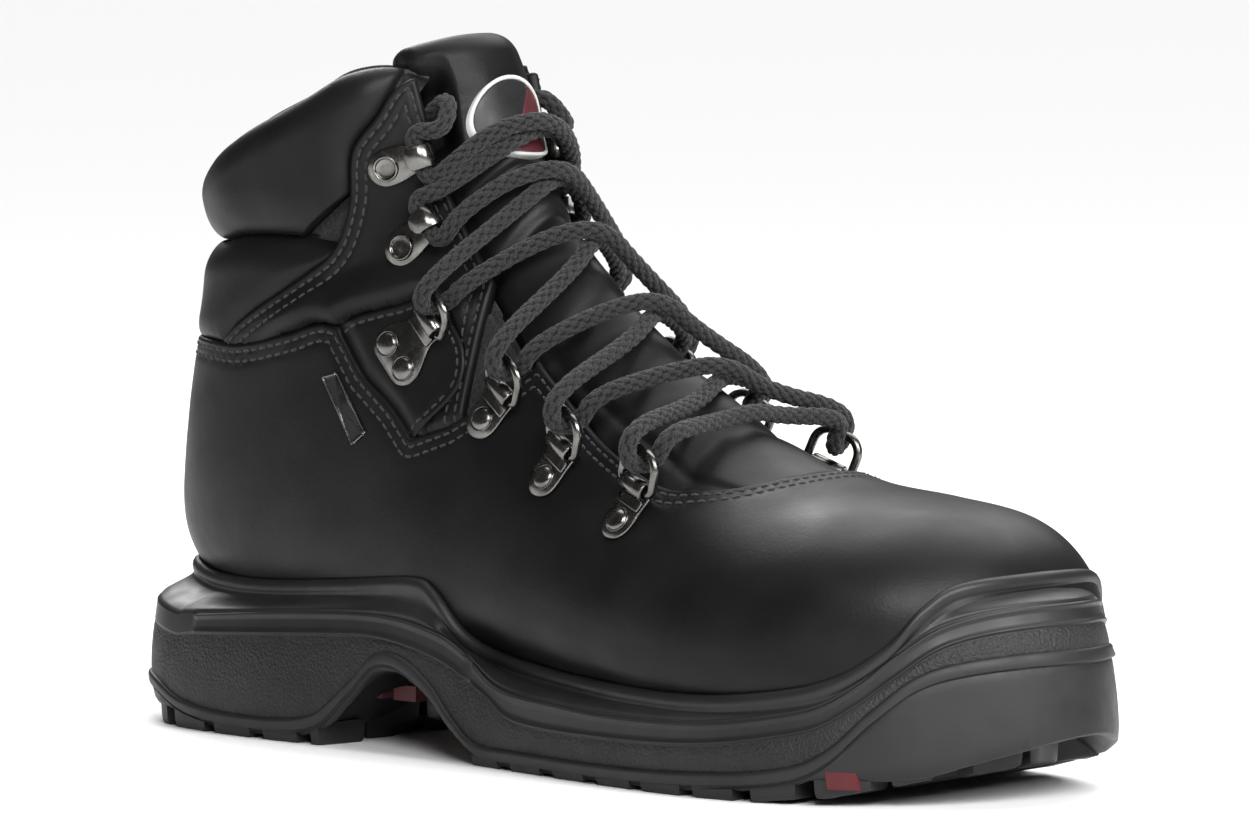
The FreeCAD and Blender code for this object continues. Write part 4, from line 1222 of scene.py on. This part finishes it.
# ------------------------------------------------------------------ hardware
RING_SEATS = [((6.38, .338), (6.27, .375)), ((7.32, .334), (7.20, .372)), ((8.18, .338), (8.08, .372))]
ANKLE_SEAT = ((9.46, .326), (9.28, .364))
HOOK_SEATS = [((10.60, .360), (10.46, .396)), ((12.30, .357), (11.95, .400))]
PLATE_LIFT, PLATE_THICK, RIVET_HEAD_R, RIVET_HEAD_H = 0.7, 1.0, 3.5, 1.5
TAIL_R, ANKLE_TAIL_R, ANKLE_RIVET_V = 5.2, 4.5, 4.3
WIRE_R, BARREL_U, ANKLE_BARREL_U, BARREL_N, BARREL_MID_R, BARREL_HALF = 1.2, 9.5, 14.5, 3.4, 2.0, 4.8
RING_LENGTH, RING_HALF_WIDTH, RING_TILT = 9.8, 6.8, 35.0
RING_BENDS = (1.7, 4.6)
HOOK_HALF_WIDTH, HOOK_THICK, HOOK_INNER_R, HOOK_TAIL_R, HOOK_U = 3.0, 1.1, 2.9, 4.9, 10.4


def frame_at(seat, side):
    """Origin and directions of a seat: u from the rivet to the throat, v along the facing, n outwards."""
    (t, a), (facing_t, facing_a) = seat
    if side > 0:
        a, facing_a = 1 - a, 1 - facing_a
    origin, n = surface(t, a), normals(t, a)
    u = surface(facing_t, facing_a) - origin
    u = u - n * np.dot(u, n)
    u /= np.linalg.norm(u)
    return origin, np.stack([u, np.cross(n, u), n])


def seated(points, seat, side):
    origin, axes = frame_at(seat, side)
    return origin + np.asarray(points, float) @ axes


def tube(path, radius, closed=False, sides=12, relief=None):
    """Points and faces of a round tube along a path, with frames carried along it."""
    path = np.asarray(path, float)
    count = len(path)
    if closed:
        tangent = np.roll(path, -1, 0) - np.roll(path, 1, 0)
    else:
        tangent = np.gradient(path, axis=0)
    tangent /= np.linalg.norm(tangent, axis=1, keepdims=True)
    start = np.cross(tangent[0], (0.3, 0.2, 0.9))
    start /= np.linalg.norm(start)
    sides_at = [start]
    for k in range(1, count):
        s = sides_at[-1] - tangent[k] * np.dot(sides_at[-1], tangent[k])
        sides_at.append(s / np.linalg.norm(s))
    first = np.array(sides_at)
    if closed:
        last = first[-1] - tangent[0] * np.dot(first[-1], tangent[0])
        twist = math.atan2(np.dot(np.cross(last, first[0]), tangent[0]), np.dot(last, first[0]))
    else:
        twist = 0.0
    second = np.cross(tangent, first)
    angle = np.arange(sides) * 2 * math.pi / sides
    turn = angle[None, :] + (twist * np.arange(count) / count)[:, None]
    size = np.broadcast_to(radius, (count,))[:, None] * np.ones(sides)
    if relief is not None:
        reach = np.concatenate([[0], np.cumsum(np.linalg.norm(np.diff(path, axis=0), axis=1))])
        size = size + relief(reach, angle)
    points = path[:, None] + first[:, None] * (np.cos(turn) * size)[..., None] \
        + second[:, None] * (np.sin(turn) * size)[..., None]
    faces = walls(count, sides, closed=closed) + ([] if closed else ends(count, sides))
    return points.reshape(-1, 3), faces


def strap(centre, half_widths, thick):
    """A bent metal strip: a line of (u, n) with a half width at each point, and softened edges."""
    centre, w = np.asarray(centre, float), np.asarray(half_widths, float)
    along = np.gradient(centre, axis=0)
    along /= np.linalg.norm(along, axis=1, keepdims=True)
    out = np.stack([-along[:, 1], along[:, 0]], 1)
    h, b = thick / 2, 0.28
    section = [(-1, h - b, 0), (-1, h - b * 0.3, b * 0.7), (-1, h, b), (1, h, b), (1, h - b * 0.3, b * 0.7),
               (1, h - b, 0), (1, -h + b, 0), (1, -h + b * 0.3, b * 0.7), (1, -h, b), (-1, -h, b),
               (-1, -h + b * 0.3, b * 0.7), (-1, -h + b, 0)]
    points = []
    for (u, n), (ou, on), width in zip(centre, out, w):
        for side, rise, back in section:
            points.append((u + ou * rise, side * max(width - back, 0.02), n + on * rise))
    faces = walls(len(centre), len(section), flip=True)
    faces += [end[::-1] for end in ends(len(centre), len(section))]
    return np.array(points), faces


def lathe(profile, v=0.0, steps=40):
    """A turned shape from (radius, height), closed at its axis."""
    points = []
    for r, n in profile:
        for k in range(steps):
            angle = 2 * math.pi * k / steps
            points.append((r * math.cos(angle), v + r * math.sin(angle), n))
    return np.array(points), walls(len(profile), steps) + ends(len(profile), steps)


def rivet(v, top, domed=True):
    """Head and shank of a rivet: domed with a flat brim, or a flat disc with a raised rim."""
    r, h = RIVET_HEAD_R, RIVET_HEAD_H
    profile = [(1.6, -3.0), (1.6, top), (r * 0.96, top), (r, top + 0.12), (r, top + 0.34)]
    if domed:
        profile += [(r * 0.97, top + 0.46), (r * 0.91, top + 0.44), (r * 0.88, top + 0.34)]
        profile += [(r * 0.86 * math.cos(k * math.pi / 16),
                     top + 0.3 + (h - 0.3) * math.sin(k * math.pi / 16))
                    for k in range(8)] + [(0.05, top + h)]
    else:
        profile += [(r * 0.98, top + 0.8), (r * 0.92, top + 0.98), (r * 0.84, top + 0.98),
                    (r * 0.77, top + 0.8),
                    (r * 0.73, top + 0.5), (r * 0.68, top + 0.42), (r * 0.3, top + 0.5), (0.05, top + 0.52)]
    return lathe(profile, v)


def strap_line(tail_r, end_u):
    """Places along the flat part of a strap, from the back of its round end."""
    bends = np.linspace(0, math.pi / 2, 9)
    return np.concatenate([-tail_r * np.cos(bends), np.linspace(0.6, end_u, 9)])


def strap_width(u, tail_r, spread, neck_u, neck_half):
    """Half width of a strap at u: round behind its rivets, narrowing to its neck."""
    round_end = np.sqrt(np.maximum(0, tail_r ** 2 - np.minimum(u, 0) ** 2))
    return spread + round_end + (neck_half - spread - tail_r) * ease((u - 1) / (neck_u - 1))


def ring_plate(barrel_u, tail_r, spread):
    """Strap folded round the bar of the ring, with both layers under the rivet."""
    low = PLATE_LIFT + PLATE_THICK / 2
    flat = strap_line(tail_r, barrel_u - 1.9)
    line = [(u, low) for u in flat]
    widths = list(strap_width(flat, tail_r, spread, barrel_u - 3.5, BARREL_HALF))
    for angle in np.radians(np.linspace(-80, 205, 30)):
        line.append((barrel_u + BARREL_MID_R * math.cos(angle), BARREL_N + BARREL_MID_R * math.sin(angle)))
        widths.append(BARREL_HALF)
    for back, n in ((2.9, 2.32), (3.9, 2.22), (4.9, 2.2), (5.3, 2.2)):
        line.append((barrel_u - back, n))
        widths.append(BARREL_HALF - 0.05)
    return strap(line, widths, PLATE_THICK * 0.92)


def d_ring(barrel_u):
    """Closed wire ring: a bar in the barrel and a bowed end, tilted up."""
    small, large, length, half_width = *RING_BENDS, RING_LENGTH, RING_HALF_WIDTH
    outline = []
    for cx, cy, r, first in ((small, half_width - small, small, 180),
                             (length - large, half_width - large, large, 90)):
        for k in range(9):
            angle = math.radians(first - k * 90 / 8)
            outline.append((cx + r * math.cos(angle), cy + r * math.sin(angle)))
    mirror = [(x, -y) for x, y in outline[::-1]]
    corners = np.array(outline + mirror)
    dense = []
    for p, q in zip(corners, np.roll(corners, -1, 0)):
        pieces = max(1, int(np.linalg.norm(q - p) / 0.9))
        dense += [p + (q - p) * k / pieces for k in range(pieces)]
    tilt = math.radians(RING_TILT)
    path = [(barrel_u + x * math.cos(tilt), y, BARREL_N + x * math.sin(tilt)) for x, y in dense]
    return tube(path, WIRE_R, closed=True, sides=16)


def lace_hook():
    """Riveted strap whose narrow end rises and curls back over the lace."""
    low = PLATE_LIFT + HOOK_THICK / 2
    mid_r = HOOK_INNER_R + HOOK_THICK / 2
    flat = strap_line(HOOK_TAIL_R, HOOK_U)
    line = [(u, low) for u in flat]
    widths = list(strap_width(flat, HOOK_TAIL_R, 0.0, HOOK_U, HOOK_HALF_WIDTH + 0.7))
    for angle in np.linspace(-90, 90, 22)[1:]:
        around = math.radians(angle)
        line.append((HOOK_U + mid_r * math.cos(around), low + mid_r + mid_r * math.sin(around)))
        widths.append(HOOK_HALF_WIDTH + 0.7 * (90 - angle) / 180)
    lip = np.linspace(0.5, 3.2, 7)
    for back in lip:
        line.append((HOOK_U - back, low + 2 * mid_r - 0.03 * back ** 2))
        widths.append(HOOK_HALF_WIDTH * math.sqrt(max(0.02, 1 - max(0, (back - 1.2) / 2.05) ** 2)))
    return strap(line, widths, HOOK_THICK)


def fit_metal(name, made, seat, side, node, body="root"):
    """Put a piece of hardware on its seat, in place of its CAD node."""
    points, faces = made
    piece = new_object(name, place(seated(points, seat, side)), faces, [NICKEL_WITH_PAINTED_DARK_REFLECTION])
    settle(piece, "nickel", body=body, stands_for=[node])


def hardware():
    """Straps, rings and hooks on both facings, and all the rivet heads in one piece."""
    rivets = []
    for side, word in ((-1, "lateral"), (1, "medial")):
        for k, seat in enumerate(RING_SEATS + [ANKLE_SEAT], 1):
            name = "%s_%d" % (word, k)
            if seat == ANKLE_SEAT:
                barrel_u, tail_r, spread = ANKLE_BARREL_U, ANKLE_TAIL_R, ANKLE_RIVET_V
            else:
                barrel_u, tail_r, spread = BARREL_U, TAIL_R, 0.0
            fit_metal("ring_strap_" + name, ring_plate(barrel_u, tail_r, spread), seat, side,
                      "ring_plate_" + name)
            fit_metal("wire_ring_" + name, d_ring(barrel_u), seat, side, "d_ring_" + name,
                      body="d_ring_" + name)
            for v in sorted({-spread, spread}):
                head, faces = rivet(v, PLATE_LIFT + PLATE_THICK)
                rivets.append((seated(head, seat, side), faces))
        for k, seat in enumerate(HOOK_SEATS, 1):
            name = "%s_%d" % (word, k)
            fit_metal("open_hook_" + name, lace_hook(), seat, side, "lace_hook_" + name)
            head, faces = rivet(0.0, PLATE_LIFT + HOOK_THICK, domed=False)
            rivets.append((seated(head, seat, side), faces))
    points, faces = merge(rivets)
    settle(new_object("rivet_heads", place(points), faces, [NICKEL_WITH_PAINTED_DARK_REFLECTION]), "nickel", stands_for=["lacing_rivets"])


hardware()


# ------------------------------------------------------------------ badge and side tag
BADGE_SEAT, BADGE_HALF = (11.9, .503), (11.5, 14.5)
BADGE_SPLIT, BADGE_SLANT = 0.4, math.radians(-35.0)
TAG = [(76, 96.5), (81, 98), (92.5, 82.5), (88, 79)]


def skin_tree():
    t, a = np.meshgrid(np.linspace(6, 16.9, 220), np.linspace(0.2, 0.8, 241), indexing="ij")
    return BVHTree.FromPolygons(surface(t, a).reshape(-1, 3).tolist(), grid_quads(*t.shape).tolist())


def rings_on_skin(rings, start_of, direction, tree, n):
    """Drop rings of flat points onto the skin along a direction, each at its height along n."""
    points = []
    for flat, height in rings:
        for spot in flat:
            hit = tree.ray_cast(Vector(start_of(spot)), Vector(direction))
            points.append(np.array(hit[0]) + n * height)
    return np.array(points)


def shrunk(outline, scale):
    outline = np.asarray(outline, float)
    centre = outline.mean(0)
    return centre + (outline - centre) * scale


def badge():
    """Oval badge on the tongue: a pale rim round a dark field and a dark red one."""
    tree = skin_tree()
    t, a = BADGE_SEAT
    origin, axes = frame_at(((t, a), (t - 0.3, a)), -1)
    high, wide = BADGE_HALF
    turn = np.linspace(0, 2 * math.pi, 121)[:-1]

    def start_of(spot):
        return origin + axes[0] * spot[0] + axes[1] * spot[1] + axes[2] * 15

    def oval(inset):
        return np.stack([(high - inset) * np.cos(turn), (wide - inset) * np.sin(turn)], 1)

    rim = [(0.0, -2.0), (0.0, 0.7), (0.12, 0.95), (0.35, 1.1), (0.75, 1.1), (0.95, 0.95), (1.05, 0.7),
           (1.05, -0.5)]
    points = rings_on_skin([(oval(inset), height) for inset, height in rim], start_of, -axes[2], tree,
                           axes[2])
    faces = walls(len(rim), len(turn))
    settle(new_object("badge_rim", place(points), faces, [BADGE_PALE]), "badge_dark")
    across = np.array([math.sin(BADGE_SLANT), math.cos(BADGE_SLANT)]) * (-1, 1)
    levels = [(1.0, -1.5), (1.0, 0.55), (0.985, 0.72), (0.95, 0.78), (0.8, 0.8), (0.6, 0.8), (0.4, 0.8),
              (0.2, 0.8)]
    for name, way, slot, material, node in (("badge_field", -1, "badge_dark", BADGE_DARK, "tongue_badge"),
                                            ("badge_inlay", 1, "badge_red", BADGE_RED, "tongue_badge_inlay")):
        outline = oval(1.05)
        reach = outline @ across - BADGE_SPLIT
        outline = outline - np.outer(np.where(reach * way < 0.1, reach - 0.1 * way, 0), across)
        rings = [(shrunk(outline, scale), height) for scale, height in levels]
        points = rings_on_skin(rings, start_of, -axes[2], tree, axes[2])
        faces = walls(len(rings), len(turn)) + ends(len(rings), len(turn))[::-1]
        settle(new_object(name, place(points), faces, [material]), slot, stands_for=[node])


def side_tag():
    """Small slanted metal tag with a raised border."""
    tree = skin_tree()
    corners = np.array(TAG, float)
    outline = []
    for p, q in zip(corners, np.roll(corners, -1, 0)):
        size = np.linalg.norm(q - p)
        near_corner = [0.25 / size, 0.8 / size]
        near_next = [1 - 0.8 / size, 1 - 0.25 / size]
        for share in np.concatenate([near_corner, np.linspace(0.12, 0.88, 9), near_next]):
            outline.append(p + (q - p) * share)
    outline = np.array(outline)
    centre = outline.mean(0)
    _, n, _, _ = tree.ray_cast(Vector((centre[0], -200, centre[1])), Vector((0, 1, 0)))
    n = np.array(n) * (-1 if n.y > 0 else 1)
    inward = centre - outline
    inward /= np.linalg.norm(inward, axis=1, keepdims=True)
    levels = [(0.0, -1.0), (0.0, 0.95), (0.15, 1.15), (0.6, 1.15), (0.75, 0.9), (0.8, 0.75), (1.3, 0.75)]
    rings = [(outline + inward * inset, height) for inset, height in levels]
    points = rings_on_skin(rings, lambda spot: (spot[0], -200, spot[1]), (0, 1, 0), tree, n)
    faces = walls(len(rings), len(outline)) + ends(len(rings), len(outline))[::-1]
    indices = [0] * (5 * len(outline)) + [1] * (len(outline) + 1) + [0]
    settle(new_object("tag_plate", place(points), faces, [NICKEL_WITH_PAINTED_DARK_REFLECTION, BADGE_DARK], indices), "nickel",
           stands_for=["side_tag"])


badge()
side_tag()


# ------------------------------------------------------------------ lace
LACE_TURN = 3.9
RING_TURN = [(1.7, -1, -1.8, .4), (-1, -1, -.7, 1), (-1, 1, .7, 1), (1.5, 1, 1.8, 1)]
HOOK_TURN = [(8.9, -4, .6), (.2, -7.4, 0), (-.2, 0, 0), (.2, 7.4, 0), (8.9, 4, .6)]
CROSSING_SPREAD = 0.045
UNDER, OVER = (3.4, 3.0, 3.4), (6.0, 8.9, 6.0)
BADGE_LIFT = 1.7
TUCKED_END = [(108, 17.4, 171), (98.5, 17.2, 164), (88.5, 16.9, 154.5), (81, 16.4, 142.5), (77, 15.8, 128.5),
              (74.8, 15.2, 115), (73.5, 14.7, 101.5), (73, 14, 88)]


def ring_turn(seat, side):
    """Lace points through a ring: in below its end bar, up through it and out over the bar."""
    tilt = math.radians(RING_TILT)
    ru, rn = math.cos(tilt), math.sin(tilt)
    barrel_u = ANKLE_BARREL_U if seat == ANKLE_SEAT else BARREL_U
    bar_u, bar_n = barrel_u + RING_LENGTH * ru, BARREL_N + RING_LENGTH * rn
    points = []
    for back, up, v, rise in RING_TURN:
        u = bar_u + LACE_TURN * (back * ru - up * rn)
        n = bar_n + LACE_TURN * (back * rn * rise + up * ru)
        points.append(seated((u, -side * v, n), seat, side))
    return points


def hook_turn(seat, side):
    """Lace points round a hook: behind its neck and back to the throat."""
    middle = PLATE_LIFT + HOOK_THICK + HOOK_INNER_R
    return [seated((HOOK_U + u, -side * v, middle + n), seat, side) for u, v, n in HOOK_TURN]


def crossing(t_from, t_to, side, heights, lift):
    """Lace points over the tongue from one side (-1 outer) to the other."""
    points = []
    for share, spread, height in zip((.30, .5, .70), (1, 0, -1), heights):
        t, a = t_from + (t_to - t_from) * share, 0.5 + side * CROSSING_SPREAD * spread
        points.append(surface(t, a) + normals(t, a) * (height + lift))
    return points


def lace_half(first):
    """One half of the lace, from the lowest ring of its side up to the last hook."""
    rows = RING_SEATS + [ANKLE_SEAT]
    seats = rows + HOOK_SEATS
    side, path = first, []
    for k, seat in enumerate(seats):
        path += ring_turn(seat, side) if k < len(rows) else hook_turn(seat, side)
        if k + 1 < len(seats):
            over = (k + (first > 0)) % 2
            lift = BADGE_LIFT if k + 2 == len(seats) else 0
            path += crossing(seat[1][0], seats[k + 1][1][0], side, OVER if over else UNDER, lift)
        side = -side
    return path + [np.array((x, -side * y, z)) for x, y, z in TUCKED_END]


def lace_route():
    """The whole lace: one tucked end, the lowest bar across the tongue, the other tucked end."""
    t = RING_SEATS[0][1][0]
    bar = [surface(t, a) + normals(t, a) * 3.6 for a in (.455, .5, .545)]
    return lace_half(-1)[::-1] + bar + lace_half(1)


def nurbs_points(route):
    """Points read from the smooth NURBS line with the route as its control points."""
    data = bpy.data.curves.new("lace_line", "CURVE")
    data.dimensions = "3D"
    line = data.splines.new("NURBS")
    line.points.add(len(route) - 1)
    for point, place_of in zip(line.points, route):
        point.co = (*place_of, 1.0)
    line.order_u = 3
    line.use_endpoint_u = True
    line.resolution_u = 12
    holder = bpy.data.objects.new("lace_line", data)
    mesh = bpy.data.meshes.new_from_object(holder)
    points = np.array([v.co[:] for v in mesh.vertices])
    bpy.data.objects.remove(holder)
    bpy.data.meshes.remove(mesh)
    return points


def evenly(points, step):
    reach = np.concatenate([[0], np.cumsum(np.linalg.norm(np.diff(points, axis=0), axis=1))])
    at = np.linspace(0, reach[-1], int(reach[-1] / step) + 1)
    return np.stack([np.interp(at, reach, points[:, k]) for k in range(3)], 1), reach[-1]


LACE_BODY, LACE_SIDES, LACE_STEP = 4.3 * MM, 36, 0.38 * MM
# Faces whose braid relief lies below BRAID_SHADE get the darker cord as painted shade.
BRAID_STRANDS, BRAID_PITCH, BRAID_DEPTH, BRAID_SHADE = 6, 3.7 * MM, 0.75 * MM, -0.03 * MM


def braid(reach, angle):
    """Relief of a round braid: two crossing sets of strands that pass over each other by turns."""
    along = reach[:, None] / BRAID_PITCH
    around = angle[None, :] / (2 * math.pi) * BRAID_STRANDS
    first, second = along + around, along - around
    over = (np.floor(first) + np.floor(second)) % 2 < 1
    first, second = 2 * (first % 1) - 1, 2 * (second % 1) - 1
    across, length = np.where(over, first, second), np.where(over, second, first)
    bump = np.sqrt(np.maximum(0, 1 - 0.92 * across ** 2)) * (1 - 0.45 * length ** 4)
    return BRAID_DEPTH * (bump - 0.7)


def lace():
    route = place(lace_route())
    path, length = evenly(nurbs_points(route), LACE_STEP)
    points, faces = tube(path, LACE_BODY / 2, sides=LACE_SIDES, relief=braid)
    reach = np.arange(len(path)) * length / (len(path) - 1)
    # Faces deeper than BRAID_SHADE take the darker cord, painted shade in the braid's grooves; the rest keep
    # the plain cord.
    deep = braid(reach, np.arange(LACE_SIDES) * 2 * math.pi / LACE_SIDES)
    middle = (deep[:-1] + deep[1:]) / 2
    middle = (middle + np.roll(middle, -1, 1)) / 2
    indices = [int(value < BRAID_SHADE) for value in middle.ravel()] + [0, 0]
    piece = new_object("braided_lace", points, faces, [CORD, CORD_PAINTED_GROOVE_SHADE], indices)
    settle(piece, "lace_cord", stands_for=["lace"])


lace()


# ------------------------------------------------------------------ finishes of the carried-over pieces
def dress_nodes():
    plain = {
        "red_rubber": RED_RUBBER,
        "nickel": NICKEL_WITH_PAINTED_DARK_REFLECTION,
        "leather": LEATHER_SMOOTH,
        "lining_mesh": KNIT,
        "lace_cord": CORD,
        "plate_steel": metal("zinc_steel", (0.35, 0.36, 0.37), (0.55, 0.56, 0.57), 0.4),
        "board": fabric("insole_board", (0.30, 0.24, 0.15), (0.42, 0.34, 0.22), 0.5),
        "footbed_fabric": fabric("footbed_fabric", (0.02, 0.02, 0.022), (0.06, 0.06, 0.065), 0.7),
        "foam": rubber("foam", (0.22, 0.22, 0.20), (0.32, 0.32, 0.30), 0.8),
        "membrane": rubber("membrane", (0.5, 0.5, 0.5), (0.62, 0.62, 0.62), 0.6),
        "gusset_fabric": fabric("gusset_fabric", (0.015, 0.015, 0.016), (0.03, 0.03, 0.032), 0.5),
        "plate_textile": fabric("plate_textile", (0.5, 0.48, 0.38), (0.62, 0.6, 0.5), 0.8),
        "aglet_plastic": rubber("aglet_plastic", (0.02, 0.02, 0.02), (0.035, 0.035, 0.035), 0.35),
        "outsole_rubber": RUBBER,
        "midsole_pu": PU_SMOOTH,
    }
    for name, item in nodes.items():
        for slot in item.material_slots:
            old = slot.material.name.split(".")[0] if slot.material else ""
            if name == "upper_interlining":
                slot.material = KNIT
            elif old in plain:
                slot.material = plain[old]


dress_nodes()
